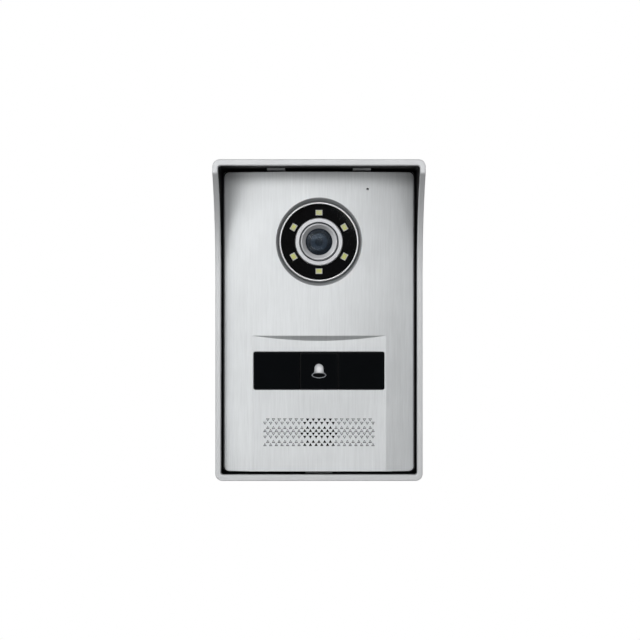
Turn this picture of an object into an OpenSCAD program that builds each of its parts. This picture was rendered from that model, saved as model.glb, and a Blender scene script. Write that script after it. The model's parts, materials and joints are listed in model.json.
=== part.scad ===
// Door intercom station with a camera, a call button and a loudspeaker, held
// in a rain hood by a steel wall bracket.
// X runs to the right, Z up, and the front faces -Y. The wall is the plane
// y = 0, so a "depth" below is a distance in front of the wall.

/* [Rain hood] */
// Overall width of the hood
hood_w = 106.4; // [100:0.2:120]
// Overall height of the hood
hood_h = 163.2; // [155:0.2:180]
// Radius of the hood's outer corners
hood_corner_r = 3.6; // [2:0.1:8]
// Wall thickness of the hood
hood_wall = 2; // [1.5:0.1:3]
// Thickness of the hood's back
hood_back = 2.5; // [2:0.1:4]
// Depth of the visor over the camera
visor_depth = 53; // [40:0.5:70]
// Depth of the low rim round the lower part
rim_depth = 31; // [31:0.5:36]
// Width of the front rim at the sides
rim_side = 2.8; // [2.2:0.1:4]
// Width of the front rim at the top and bottom
rim_end = 3.1; // [2.2:0.1:4]
// Height above the centre where the side edges start to sweep forward
sweep_foot = 22; // [0:0.5:40]
// Height above the centre where the sweep reaches the full visor depth
sweep_top = 74.5; // [60:0.5:76]
// Rounding of the visor's lower front corners
sweep_fillet = 2.5; // [1:0.1:5]
// Thickness of the black liner inside the hood
liner_t = 0.5; // [0.3:0.1:0.5]

/* [Wall fixing] */
// Horizontal distance between the wall screws
wall_screw_dx = 60; // [50:1:70]
// Vertical distance between the wall screws
wall_screw_dz = 120; // [100:1:130]
// Diameter of the wall screw holes
wall_screw_d = 4.5; // [3.5:0.1:5.5]
// Width of the cable opening in the hood's back
cable_w = 50; // [30:1:54]
// Height of the cable opening in the hood's back
cable_h = 34; // [20:1:34]
// Height of the cable opening's centre
cable_z = -20; // [-22:1:-18]
// Thickness of the bracket's sheet
bracket_t = 1.1; // [1:0.1:1.5]
// Distance of each hook arm from the centre
arm_x = 22.1; // [15:0.1:35]
// Width of each hook arm
arm_w = 9.2; // [6:0.1:14]
// Depth reached by the hook arms
arm_depth = 30; // [20:0.5:31]

/* [Front panel] */
// Width of the aluminium front panel
panel_w = 98; // [94:0.5:98]
// Height of the aluminium front panel
panel_h = 154.5; // [150:0.5:154.5]
// Radius of the panel's corners
panel_corner_r = 2.6; // [1:0.1:5]
// Radius of the panel's crown about an upright axis
crown_r = 230; // [200:5:400]
// Depth of the panel's front at the crown's middle
crown_depth = 30.5; // [30:0.1:31]
// Thickness of the panel
panel_t = 2; // [1.5:0.1:2.5]
// Depth of the flat facet in the panel's lower half
facet_depth = 27.9; // [27.5:0.1:29]
// Height of the facet's straight upper edge
facet_z = -7.1; // [-12:0.1:0]
// Slope of the step above the facet
facet_slope = 43.7; // [30:0.1:60]
// Depth of the panel's thick back behind the facet
pad_depth = 25.4; // [25:0.1:26]

/* [Camera] */
// Height of the camera's centre
cam_z = 41.2; // [35:0.1:45]
// Outer radius of the bright bezel ring
bezel_r = 20.5; // [18:0.1:22]
// Outer radius of the clear ring window
window_r = 19.6; // [17:0.1:21]
// Outer radius of the panel's countersink round the bezel
dish_r = 22.5; // [21:0.1:24]
// Outer radius of the silver lens shroud
shroud_r = 12.3; // [11:0.1:13]
// Radius of the groove between the shroud and the retainer ring
groove_r = 10.1; // [9.6:0.1:11]
// Outer radius of the retainer ring
retainer_r = 9.3; // [8.5:0.1:9.5]
// Radius of the visible lens
lens_r = 6.9; // [6:0.1:8]
// Number of white light LEDs
led_count = 6; // [4:1:8]
// Radius of the circle the LEDs stand on
led_ring_r = 15.1; // [14:0.1:17]
// LED package length
led_w = 3.5; // [3:0.1:4]
// LED package width
led_h = 2.8; // [2:0.1:3]

/* [Button strip] */
// Width of the opening for the strip
strip_w = 67.5; // [60:0.1:68]
// Height of the opening for the strip
strip_h = 19.6; // [18:0.1:22]
// Height of the strip's centre
strip_z = -25.25; // [-28:0.05:-22]
// Radius of the strip's corners
strip_corner_r = 1; // [0.5:0.1:2]
// Width of the call button
button_w = 19.5; // [18:0.1:20]
// Height of the call button
button_h = 19.2; // [18:0.1:19.2]
// Travel of the call button
button_travel = 0.8; // [0.4:0.1:0.8]

/* [Grille] */
// Distance between holes along a row
grille_pitch = 2.93; // [2.6:0.01:3.2]
// Width of each triangular hole
grille_tri_w = 1.75; // [1.2:0.05:1.8]
// Height of each triangular hole
grille_tri_h = 1.55; // [1:0.05:1.6]
// Height of the grille's centre
grille_z = -56.9; // [-60:0.1:-54]
// Depth of the blind holes at the sides
grille_blind = 0.7; // [0.3:0.1:1.2]

/* [Microphone] */
// Distance of the microphone from the centre
mic_x = 25; // [20:0.5:35]
// Height of the microphone
mic_z = 68.3; // [64:0.1:70]
// Diameter of the hole in front of the microphone
mic_hole_d = 1.2; // [0.8:0.1:1.5]

/* [Station body] */
// Width of the rear case
case_w = 93; // [90:0.5:94]
// Height of the rear case
case_h = 151; // [148:0.5:152]
// Depth of the rear case's back
case_back = 6; // [5.5:0.1:7]
// Wall thickness of the rear case
case_wall = 2; // [1.8:0.1:2.5]
// Depth of the case's front edge
case_front = 19.6; // [19:0.1:20]
// Distance of the case screws from the centre, across
case_screw_x = 41; // [40:0.1:42]
// Distance of the upper and lower case screws from the centre
case_screw_z = 69; // [66:0.5:70]
// Depth of the main board's back
board_depth = 10.4; // [10:0.1:11]
// Width of the main board
board_w = 73; // [70:0.5:74]
// Height of the main board
board_h = 140; // [130:0.5:141]
// Thickness of the circuit boards
board_t = 1.6; // [1:0.1:2]

/* [Tamper switch] */
// Distance of the tamper plunger from the centre
tamper_x = 30; // [28:0.5:31]
// Height of the tamper plunger
tamper_z = 15; // [12:0.5:17]
// Travel of the tamper plunger
tamper_travel = 1.2; // [0.8:0.1:1.2]

/* [Output] */

/* [Hidden] */
$fn = 96;

// Sweep of the hood's side edges: a hollow arc that leaves the low rim level
// and meets the full depth at sweep_top, with a small rounding there.
sweep_rise = visor_depth - rim_depth;
sweep_run = sweep_top - sweep_foot;
sweep_r = (sweep_run * sweep_run + sweep_rise * sweep_rise) / (2 * sweep_rise);
sweep_centre = [-rim_depth - sweep_r, sweep_foot];
fillet_y = -(visor_depth - sweep_fillet);
fillet_reach = sweep_r + sweep_fillet;
fillet_z = sweep_foot + sqrt(fillet_reach * fillet_reach
  - (fillet_y - sweep_centre[0]) * (fillet_y - sweep_centre[0]));
fillet_touch = sweep_centre + sweep_r / fillet_reach * ([fillet_y, fillet_z] - sweep_centre);

lip_t = 3;
chamber_w = hood_w - 2 * hood_wall;
chamber_h = hood_h - 2 * hood_wall;
bracket_front = hood_back + bracket_t;
arm_top = chamber_h / 2 - liner_t - 0.05;
arm_t = bracket_t;
catch_depth = 12.5;
security_depth = 14;
tamper_stop = case_back + case_wall + 0.1 + tamper_travel;

crown_y = crown_r - crown_depth;

frame_back = 20;
frame_plate = 22;
frame_rim = 24.2;
board_front = board_depth + board_t;
keypad_front = 19.2;
plunger_back = 21;
strip_front = 27.6;
window_w = strip_w / 2 - 0.15 - button_w / 2 - 0.25;
window_x = button_w / 2 + 0.25 + window_w / 2;

case_screws_at = [for (x = [-1, 1], z = [-1, 0, 1]) [x * case_screw_x, z * case_screw_z]];
board_screws_at = [for (x = [-1, 1], z = [-1, 1]) [x * 32, z * 64]];
camera_screws_at = [for (x = [-1, 1], z = [-1, 1]) [x * 12, cam_z + z * 12]];
keypad_screws_at = [for (x = [-1, 1]) [x * 30, strip_z - 5]];
bracket_screws_at = [for (x = [-1, 1], z = [-1, 1]) [x * 34, z * 40]];

// Row list of the grille: distance up from the first row, direction of the
// triangles (1 up, -1 down), holes in the row and through holes in its middle.
grille_rows = [
  [0, -1, 19, 5], [-1.75, -1, 20, 6], [-3.81, 1, 19, 5], [-5.41, 1, 20, 6],
  [-7.26, -1, 19, 7], [-8.91, -1, 20, 6], [-11.02, 1, 19, 5], [-12.62, 1, 20, 6]
];

// ---- shared shapes ----

// Extrudes an outline drawn as (X, Z) from depth d0 to depth d1.
module slab(d0, d1) {
  translate([0, -d0, 0]) rotate([90, 0, 0]) linear_extrude(height = d1 - d0) children();
}

// Round bar along the depth at (x, z).
module bar(at, d0, d1, r) {
  slab(d0, d1) translate(at) circle(r = r);
}

// Ring along the depth at (x, z).
module ring(at, d0, d1, r_out, r_in) {
  slab(d0, d1) translate(at) difference() {
    circle(r = r_out);
    circle(r = r_in);
  }
}

// Solid of revolution about a depth axis; the outline is drawn as (radius, depth).
module turned(at) {
  translate([at[0], 0, at[1]]) rotate([90, 0, 0]) rotate_extrude() children();
}

// Extrudes an outline drawn as (Y, Z) across the width.
module across(width) {
  rotate([90, 0, 90]) linear_extrude(height = width, center = true) children();
}

// Rectangle with round corners, centred.
module rrect(w, h, r) {
  square([w - 2 * r, h], center = true);
  square([w, h - 2 * r], center = true);
  for (x = [-1, 1], y = [-1, 1])
    translate([x * (w / 2 - r), y * (h / 2 - r)]) circle(r = r);
}

// Upright cylinder that carries the panel's crown, drawn in or out by "inset".
module crown(inset) {
  translate([0, crown_y, 0]) cylinder(r = crown_r - inset, h = 2 * panel_h, center = true);
}

// Round tube along a list of points.
module tube(path, r, up, sides = 8) {
  n = len(path);
  function unit(v) = v / norm(v);
  function tangent(i) = unit(path[min(i + 1, n - 1)] - path[max(i - 1, 0)]);
  rings = [for (i = [0:n - 1])
    let (t = tangent(i), a = unit(cross(t, up)), b = cross(t, a))
      [for (k = [0:sides - 1])
        path[i] + r * (cos(360 * k / sides) * a + sin(360 * k / sides) * b)]];
  points = [for (one = rings) for (p = one) p];
  walls = [for (i = [0:n - 2], k = [0:sides - 1])
    let (a = i * sides + k, b = i * sides + (k + 1) % sides)
      each [[a, a + sides, b], [b, a + sides, b + sides]]];
  ends = [[for (k = [0:sides - 1]) k], [for (k = [sides - 1:-1:0]) (n - 1) * sides + k]];
  polyhedron(points = points, faces = concat(walls, ends), convexity = 8);
}

// Compression spring along the depth, from depth d0 to depth d1.
module coil(at, d0, d1, r, wire_r, turns, steps = 14) {
  low = d0 + wire_r;
  high = d1 - wire_r;
  count = turns * steps;
  tube([for (i = [0:count])
    let (a = 360 * i / steps, lift = min(1, max(0, (i / count - 0.12) / 0.76)))
      [at[0] + r * cos(a), -(low + (high - low) * lift), at[1] + r * sin(a)]],
    wire_r, [0, 1, 0]);
}

// ---- rain hood and wall bracket ----

// Hood outline seen from the side, moved back by "back".
module hood_side(back) {
  across(hood_w + 2) translate([back, 0]) difference() {
    union() {
      translate([-rim_depth, -hood_h]) square([rim_depth + 5, 2 * hood_h]);
      difference() {
        translate([-visor_depth, sweep_foot]) square([visor_depth, hood_h]);
        translate(sweep_centre) circle(r = sweep_r, $fn = 360);
      }
    }
    difference() {
      polygon([fillet_touch, [-visor_depth - 1, fillet_touch[1]],
        [-visor_depth - 1, fillet_z], [fillet_y, fillet_z]]);
      translate([fillet_y, fillet_z]) circle(r = sweep_fillet);
    }
  }
}

module rain_hood() color([0.76, 0.77, 0.78]) difference() {
  intersection() {
    slab(0, visor_depth) rrect(hood_w, hood_h, hood_corner_r);
    hood_side(0);
  }
  slab(hood_back, visor_depth + 1)
    rrect(hood_w - 2 * rim_side, hood_h - 2 * rim_end, 1.3);
  intersection() {
    slab(hood_back, visor_depth) rrect(chamber_w, chamber_h, 1.8);
    hood_side(lip_t);
  }
  slab(-1, 1) difference() {
    rrect(100, 156, 3);
    rrect(90, 146, 3);
  }
  slab(-1, hood_back + 1) {
    for (x = [-1, 1], z = [-1, 1])
      translate([x * wall_screw_dx / 2, z * wall_screw_dz / 2]) circle(d = wall_screw_d);
    translate([0, cable_z]) rrect(cable_w, cable_h, 4);
    translate([tamper_x, tamper_z]) circle(r = 3.2);
    for (at = bracket_screws_at) translate(at) circle(r = 1.25);
  }
  bottom_openings(hood_h / 2 - hood_wall / 2, hood_wall + 2);
}

// Weep slots and the security screw's access hole in the bottom of the hood.
module bottom_openings(below, height) {
  translate([0, 0, -below]) {
    for (x = [-1, 1]) translate([x * 26, -10, 0]) cube([10, 3, height], center = true);
    translate([0, -security_depth, 0]) cylinder(r = 3.3, h = height, center = true);
  }
}

module hood_liner() color([0.05, 0.05, 0.055]) difference() {
  intersection() {
    slab(hood_back, visor_depth) difference() {
      rrect(chamber_w, chamber_h, 1.8);
      rrect(chamber_w - 2 * liner_t, chamber_h - 2 * liner_t, 1.3);
    }
    hood_side(lip_t);
  }
  bottom_openings(chamber_h / 2, 4);
}

module wall_gasket() color([0.1, 0.1, 0.1]) slab(0, 1) difference() {
  rrect(100, 156, 3);
  rrect(90, 146, 3);
}

module mounting_bracket() color([0.36, 0.37, 0.38]) {
  difference() {
    slab(hood_back, bracket_front) {
      rrect(80, 144, 5);
      for (x = [-1, 1]) translate([x * arm_x - arm_w / 2, 0]) square([arm_w, arm_top]);
      translate([-7, -arm_top]) square([14, arm_top]);
    }
    slab(hood_back - 1, bracket_front + 1) {
      translate([0, cable_z + 2]) rrect(cable_w + 8, cable_h + 12, 5);
      translate([0, 38]) rrect(58, 32, 5);
      for (x = [-1, 1], z = [-1, 1])
        translate([x * wall_screw_dx / 2, z * wall_screw_dz / 2]) circle(d = wall_screw_d);
      for (at = bracket_screws_at) translate(at) circle(r = 1.55);
      translate([tamper_x, tamper_z]) circle(r = 3.2);
    }
  }
  for (x = [-1, 1]) translate([x * arm_x, 0, 0]) {
    slab(bracket_front, arm_depth) translate([-arm_w / 2, arm_top - arm_t]) square([arm_w, arm_t]);
    slab(catch_depth, catch_depth + arm_t)
      translate([-3.5, case_h / 2 - 1.4]) square([7, arm_top - arm_t - case_h / 2 + 1.4]);
  }
  difference() {
    slab(bracket_front, security_depth + 6)
      translate([-7, -arm_top]) square([14, arm_t]);
    translate([0, -security_depth, -arm_top]) cylinder(r = 1.7, h = 6, center = true);
  }
}

// Small pan head screw along the depth; its head points to the front.
module pan_screw(at, head_depth, head_r, head_t, shank_r, length) {
  difference() {
    bar(at, head_depth, head_depth + head_t, head_r);
    slab(head_depth + head_t * 0.45, head_depth + head_t + 1) translate(at) {
      square([head_r * 1.3, head_r * 0.32], center = true);
      square([head_r * 0.32, head_r * 1.3], center = true);
    }
  }
  bar(at, head_depth - length, head_depth, shank_r);
}

module bracket_screws() color([0.7, 0.7, 0.72])
  for (at = bracket_screws_at) pan_screw(at, bracket_front, 2.6, 1.5, 1.25, 2.6);

module security_screw() color([0.62, 0.62, 0.65])
  translate([0, -security_depth, 0]) difference() {
    union() {
      translate([0, 0, -arm_top - 2]) cylinder(r = 2.7, h = 2);
      translate([0, 0, -arm_top]) cylinder(r = 1.45, h = 9);
    }
    translate([0, 0, -arm_top - 3]) cylinder(r = 1.25, h = 2.2, $fn = 6);
  }

// ---- front panel ----

// Triangular holes of the grille: the through holes or the blind ones.
module grille(through) {
  for (row = grille_rows, i = [0:row[2] - 1]) {
    middle = abs(i - (row[2] - 1) / 2) < row[3] / 2;
    if (middle == through)
      translate([(i - (row[2] - 1) / 2) * grille_pitch, grille_z + 6.31 + row[0]])
        polygon([[-grille_tri_w / 2, -row[1] * grille_tri_h / 2],
          [grille_tri_w / 2, -row[1] * grille_tri_h / 2], [0, row[1] * grille_tri_h / 2]]);
  }
}

module front_panel() color([0.84, 0.85, 0.86]) difference() {
  intersection() {
    slab(pad_depth - 5, crown_depth + 1) rrect(panel_w, panel_h, panel_corner_r);
    crown(0);
    union() {
      difference() {
        slab(pad_depth - 5, crown_depth + 1) square([panel_w, panel_h], center = true);
        crown(panel_t);
      }
      slab(pad_depth, crown_depth) translate([-35, -panel_h / 2])
        square([70, panel_h / 2 + facet_z + 3]);
      bar([0, cam_z], 26.5, crown_depth, 25);
    }
  }
  difference() {
    slab(facet_depth, crown_depth + 2) translate([-panel_w, -panel_h])
      square([2 * panel_w, panel_h + facet_z]);
    translate([0, -crown_depth, facet_z]) rotate([facet_slope, 0, 0])
      translate([0, crown_r / cos(facet_slope), 0])
        cylinder(r = crown_r / cos(facet_slope), h = 40, center = true);
  }
  turned([0, cam_z]) polygon([[0, 25], [bezel_r + 0.25, 25], [bezel_r + 0.25, 27],
    [dish_r, crown_depth], [dish_r + 0.5, crown_depth + 1], [0, crown_depth + 1]]);
  slab(pad_depth - 1, crown_depth) translate([0, strip_z]) rrect(strip_w, strip_h, strip_corner_r);
  bar([mic_x, mic_z], 20, crown_depth + 1, mic_hole_d / 2);
  slab(pad_depth - 1, crown_depth) grille(true);
  slab(facet_depth - grille_blind, crown_depth) grille(false);
}

module panel_gasket() color([0.12, 0.12, 0.12]) {
  difference() {
    intersection() {
      slab(20, 29) difference() {
        rrect(panel_w - 1, panel_h - 1, 2);
        rrect(panel_w - 5, panel_h - 5, 2);
      }
      crown(panel_t);
    }
    crown(panel_t + 0.4);
    slab(20, 29) translate([0, -panel_h / 2]) square([72, 12], center = true);
  }
  slab(25, pad_depth) translate([-34.5, -panel_h / 2 + 0.5]) square([69, 2]);
}

// ---- station body ----

module front_frame() color([0.09, 0.09, 0.1]) difference() {
  union() {
    slab(frame_back, frame_rim) difference() {
      rrect(panel_w + 1.2, panel_h + 1.2, 3.2);
      rrect(panel_w - 4, panel_h - 4, 2.6);
    }
    intersection() {
      slab(frame_back, 29) difference() {
        rrect(panel_w - 0.6, panel_h - 0.6, 2.3);
        rrect(panel_w - 5, panel_h - 5, 2);
      }
      crown(panel_t + 0.4);
    }
    slab(frame_back, frame_plate) square([panel_w - 4, panel_h - 4], center = true);
    for (at = case_screws_at) bar(at, frame_back, 23.8, 3.2);
    ring([0, cam_z], frame_plate, 24.6, 24, 21);
    slab(frame_plate, 26) for (x = [-1, 1]) translate([x * window_x, strip_z]) difference() {
      rrect(window_w - 0.4, strip_h - 0.8, 0.6);
      rrect(window_w - 3.4, strip_h - 3.8, 0.4);
    }
    slab(frame_plate, 25) translate([0, grille_z]) difference() {
      rrect(27, 21, 2);
      rrect(23, 17, 1);
    }
    for (at = camera_screws_at) bar(at, 15.8, frame_back, 2.2);
    for (at = keypad_screws_at) bar(at, keypad_front, frame_back, 2.6);
  }
  // pocket the panel drops into
  difference() {
    slab(20, 30) rrect(panel_w + 0.1, panel_h + 0.1, panel_corner_r + 0.05);
    crown(panel_t + 0.4);
    slab(19, 25.01) square([panel_w - 10, panel_h - 10], center = true);
  }
  difference() {
    slab(25, 30) translate([-35.4, -panel_h / 2 - 0.3]) square([70.8, panel_h / 2 + facet_z + 3.7]);
    slab(24, 27) translate([0, strip_z]) rrect(strip_w - 0.4, strip_h - 0.4, 0.8);
  }
  slab(frame_back - 5, frame_plate + 1) {
    translate([0, cam_z]) circle(r = 9.6);
    translate([0, strip_z]) square([18.6, 19], center = true);
    translate([0, grille_z]) rrect(23, 17, 1);
    translate([mic_x, mic_z]) circle(r = 4.25);
    for (x = [-1, 1]) translate([x * window_x, strip_z]) rrect(8, 6, 1);
  }
  for (at = case_screws_at) bar(at, frame_back - 1, 23.3, 1.45);
  for (at = camera_screws_at) bar(at, 15, 21, 0.9);
  for (at = keypad_screws_at) bar(at, keypad_front - 1, 21.5, 0.9);
}

module rear_case() color([0.13, 0.13, 0.14]) difference() {
  union() {
    difference() {
      slab(case_back, case_front) rrect(case_w, case_h, 4);
      slab(case_back + case_wall, case_front + 1)
        rrect(case_w - 2 * case_wall, case_h - 2 * case_wall, 2.5);
    }
    for (at = case_screws_at) bar(at, case_back, case_front, 3.6);
    for (at = board_screws_at) bar(at, case_back, board_depth, 3);
    slab(case_back, 17.5) translate([-6, -case_h / 2]) square([12, 3.5]);
    slab(case_back + case_wall, board_depth - 0.4) translate([0, cable_z]) difference() {
      rrect(36, 22, 5);
      rrect(32, 18, 4);
    }
  }
  for (at = case_screws_at) {
    bar(at, case_back - 1, case_back + 2.4, 3.1);
    bar(at, case_back - 1, case_front + 1, 1.6);
  }
  for (at = board_screws_at) bar(at, case_back + 1, board_depth + 1, 1.25);
  slab(case_back - 1, case_back + case_wall + 0.5) {
    translate([0, cable_z]) rrect(26, 12, 4);
    translate([tamper_x, tamper_z]) circle(r = 2.3);
  }
  for (x = [-1, 1]) slab(catch_depth - 0.4, catch_depth + arm_t + 0.4)
    translate([x * arm_x - 4, case_h / 2 - 3]) square([8, 5]);
  translate([0, -security_depth, -case_h / 2]) cylinder(r = 1.45, h = 14, center = true);
}

module case_seal() color([0.3, 0.3, 0.32]) slab(case_front, frame_back) difference() {
  rrect(case_w - 0.6, case_h - 0.6, 3.7);
  rrect(case_w - 3.4, case_h - 3.4, 2.6);
}

module case_screws() color([0.7, 0.7, 0.72])
  for (at = case_screws_at) {
    difference() {
      bar(at, case_back + 0.2, case_back + 2.4, 2.8);
      slab(case_back - 1, case_back + 1.3) translate(at) {
        square([3.6, 0.9], center = true);
        square([0.9, 3.6], center = true);
      }
    }
    bar(at, case_back + 2.4, 23.2, 1.45);
  }

// ---- camera ----

module camera_bezel() color([0.85, 0.86, 0.87]) turned([0, cam_z])
  polygon([
    [shroud_r + 0.05, 24], [bezel_r - 0.2, 24], [bezel_r - 0.2, 24.7], [24, 24.7],
    [24, 26], [bezel_r, 26], [bezel_r, 29.5], [bezel_r - 0.3, 29.8],
    [window_r + 0.2, 29.8], [window_r, 29.6], [window_r, 28.2],
    [window_r - 0.5, 28.2], [window_r - 0.5, 25.2], [shroud_r + 0.05, 25.2]
  ]);

module camera_seal() color([0.1, 0.1, 0.1])
  ring([0, cam_z], 26, 26.5, 23.6, 21.6);

module ring_window() color([0.12, 0.13, 0.15, 0.35])
  ring([0, cam_z], 28.2, 29.2, window_r - 0.05, shroud_r + 0.05);

// Shape repeated at each LED, turned with it round the ring.
module at_leds() {
  for (i = [0:led_count - 1])
    translate([0, cam_z]) rotate(i * 360 / led_count) translate([0, led_ring_r]) children();
}

module led_mask() color([0.03, 0.03, 0.035]) slab(26.4, 26.8) difference() {
  translate([0, cam_z]) circle(r = window_r - 0.6);
  translate([0, cam_z]) circle(r = shroud_r + 0.1);
  at_leds() square([led_w + 0.3, led_h + 0.3], center = true);
}

module led_board() color([0.05, 0.06, 0.06])
  ring([0, cam_z], 25.2, 26.4, window_r - 0.6, shroud_r + 0.1);

module led_packages() color([0.92, 0.92, 0.88]) difference() {
  slab(26.4, 27.3) at_leds() square([led_w, led_h], center = true);
  slab(27, 28) at_leds() rrect(led_w - 0.7, led_h - 0.6, 0.3);
}

module led_phosphors() color([0.78, 0.79, 0.5])
  slab(27, 27.25) at_leds() rrect(led_w - 0.7, led_h - 0.6, 0.3);

module lens_shroud() color([0.8, 0.8, 0.84]) turned([0, cam_z])
  polygon([
    [retainer_r, frame_plate], [shroud_r, frame_plate], [shroud_r, 29.6],
    [shroud_r - 0.35, 29.95], [groove_r + 0.1, 29.95], [groove_r, 29.85],
    [groove_r, 29.3], [retainer_r, 29.3]
  ]);

module lens_retainer() color([0.74, 0.74, 0.78]) turned([0, cam_z])
  polygon([
    [lens_r, 26], [retainer_r, 26], [retainer_r, 29.75],
    [retainer_r - 0.15, 29.9], [retainer_r - 0.5, 29.9], [lens_r, 29]
  ]);

module lens_barrel() color([0.06, 0.06, 0.07]) turned([0, cam_z])
  polygon([
    [4.2, 17.4], [6, 17.4], [6, 25.2], [lens_r, 25.2], [lens_r, 28.6],
    [6.7, 28.6], [6.7, 27.6], [6, 27.6], [5, 25.5], [2.2, 24], [2.2, 23.4],
    [4.6, 23.2], [4.6, 21.4], [4.2, 21.4]
  ]);

module lens_front_glass() color([0.1, 0.12, 0.16, 0.5]) intersection() {
  bar([0, cam_z], 27.6, 30, 6.7);
  translate([0, -8.34, cam_z]) sphere(r = 20.96, $fn = 120);
}

module lens_rear_glass() color([0.3, 0.35, 0.5, 0.5]) intersection() {
  bar([0, cam_z], 18.2, 21.4, 4.2);
  translate([0, -9.2, cam_z]) sphere(r = 12, $fn = 120);
}

module lens_mount() color([0.08, 0.08, 0.09]) difference() {
  union() {
    slab(15.7, 18.6) translate([0, cam_z]) rrect(18, 18, 1.5);
    bar([0, cam_z], 18.6, 22.5, 8.2);
  }
  bar([0, cam_z], 17.2, 23, 6);
  slab(15.6, 17.2) translate([0, cam_z]) square([13, 13], center = true);
}

module camera_board() color([0.05, 0.22, 0.12]) difference() {
  slab(14.5, 15.7) translate([0, cam_z]) rrect(30, 30, 2);
  for (at = camera_screws_at) bar(at, 14, 16, 1.1);
}

module image_sensor() color([0.2, 0.2, 0.22]) slab(15.7, 16.9) translate([0, cam_z])
  square([9, 8], center = true);

module small_screws() color([0.7, 0.7, 0.72]) {
  for (at = camera_screws_at) rear_screw(at, 14.5);
  for (at = keypad_screws_at) rear_screw(at, keypad_front - board_t);
}

// M2 screw with its head at the back, seated at the given depth.
module rear_screw(at, seat) {
  difference() {
    bar(at, seat - 1.3, seat, 1.9);
    slab(seat - 2, seat - 0.7) translate(at) {
      square([2.2, 0.6], center = true);
      square([0.6, 2.2], center = true);
    }
  }
  bar(at, seat, seat + 3.6, 0.9);
}

// ---- button strip ----

// Outline of the bell sign: a filled dome over an open oval mouth.
function oval(rx, rz) = [for (a = [0:10:350]) [rx * cos(a), rz * sin(a)]];

module bell_sign() {
  difference() {
    union() {
      translate([0, 1.25]) circle(r = 2.3);
      polygon([[-2.3, 1.25], [2.3, 1.25], [2.5, -0.6], [3.1, -1.5], [-3.1, -1.5], [-2.5, -0.6]]);
      translate([0, -2.25]) polygon(oval(3.75, 1.6));
    }
    translate([0, -2.25]) polygon(oval(3.25, 1.1));
  }
}

module call_button() color([0.04, 0.045, 0.05]) difference() {
  union() {
    slab(25.1, strip_front + 0.2) translate([0, strip_z]) rrect(button_w, button_h, 0.8);
    slab(24.2, 25.1) translate([0, strip_z]) rrect(button_w, button_h + 2.4, 0.8);
    slab(22.75, 24.2) translate([0, strip_z]) rrect(5, 5, 1);
  }
  slab(strip_front - 0.8, strip_front + 1) translate([0, strip_z]) bell_sign();
  slab(24, 26.4) translate([0, strip_z]) difference() {
    rrect(button_w - 3, button_h - 3, 0.5);
    square([6, button_h], center = true);
    for (x = [-1, 1]) translate([x * 7, 0]) circle(r = 2.6);
  }
}

module bell_light_guide() color([0.95, 0.96, 0.97])
  slab(strip_front - 0.8, strip_front + 0.2) translate([0, strip_z]) bell_sign();

module switch_plunger() color([0.15, 0.15, 0.16]) bar([0, strip_z], plunger_back, 22.75, 1.6);

module button_springs() color([0.75, 0.76, 0.78])
  for (x = [-1, 1]) coil([x * 7, strip_z], keypad_front, 24.2, 1.7, 0.2, 5);

module tact_switch() color([0.35, 0.35, 0.37]) difference() {
  slab(keypad_front, 21.7) translate([0, strip_z]) rrect(6, 6, 0.4);
  bar([0, strip_z], plunger_back - button_travel - 0.2, 22, 1.8);
}

module keypad_board() color([0.05, 0.22, 0.12]) difference() {
  slab(keypad_front - board_t, keypad_front) translate([0, strip_z]) rrect(68, 18, 1.5);
  for (at = keypad_screws_at) bar(at, 17, 20, 1.1);
}

module keypad_leds() color([0.93, 0.93, 0.9]) slab(keypad_front, keypad_front + 0.9) {
  for (x = [-1, 1]) translate([x * window_x, strip_z]) square([3.2, 1.6], center = true);
  for (x = [-1, 1]) translate([x * 3.8, strip_z - 6]) square([1.6, 0.8], center = true);
}

module strip_window(side) {
  slab(26, strip_front) translate([side * window_x, strip_z])
    rrect(window_w, strip_h - 0.3, 0.85);
}

module left_window() color([0.04, 0.045, 0.05]) strip_window(-1);

module right_window() color([0.04, 0.045, 0.05]) strip_window(1);

// ---- sound ----

module speaker_frame() color([0.45, 0.45, 0.47]) turned([0, grille_z])
  polygon([
    [6, 14.8], [9, 14.8], [15, 18.2], [16, 18.2], [16, 19.6], [14.3, 19.6],
    [14.3, 18.9], [8.6, 15.5], [6, 15.5]
  ]);

module speaker_magnet() color([0.3, 0.3, 0.32]) difference() {
  bar([0, grille_z], 12.6, 15.5, 6);
  ring([0, grille_z], 13.2, 16, 4.4, 3.7);
}

module speaker_cone() color([0.08, 0.08, 0.09]) turned([0, grille_z])
  polygon([
    [0, 17.6], [2, 17.4], [3.9, 16.6], [3.9, 13.4], [4.2, 13.4], [4.2, 16.2],
    [12, 18.6], [13.2, 19.2], [14.2, 18.95], [14.2, 19.2], [13.2, 19.5],
    [11.9, 18.9], [4.3, 16.8], [2.1, 17.7], [0, 17.9]
  ]);

module speaker_gasket() color([0.14, 0.14, 0.14])
  ring([0, grille_z], 19.6, frame_back, 16, 14.4);

module speaker_mesh() color([0.02, 0.02, 0.02])
  slab(25.05, 25.35) translate([0, grille_z]) rrect(27, 21, 2);

module speaker_leads() color([0.75, 0.1, 0.08])
  for (x = [-1, 1])
    tube([for (t = [0:0.1:1])
      [x * (3 + 5 * t), -(14.3 - 1.85 * t * t), grille_z + 8.4 + 9 * t]],
      0.45, [0, 1, 0]);

module microphone() color([0.7, 0.7, 0.72]) bar([mic_x, mic_z], 19.3, 22.2, 3);

module mic_boot() color([0.1, 0.1, 0.1]) turned([mic_x, mic_z])
  polygon([
    [3, 19], [4.2, 19], [4.2, 24], [3.4, 26.4], [0.6, 26.4], [0.6, 22.3],
    [3, 22.3]
  ]);

// ---- electronics ----

module main_board() color([0.05, 0.24, 0.13]) difference() {
  slab(board_depth, board_front) rrect(board_w, board_h, 3);
  slab(board_depth - 1, board_front + 1) {
    for (at = board_screws_at) translate(at) circle(r = 1.4);
    translate([0, cable_z]) rrect(32, 16, 4);
    translate([tamper_x, tamper_z]) circle(r = 2.6);
  }
}

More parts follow.
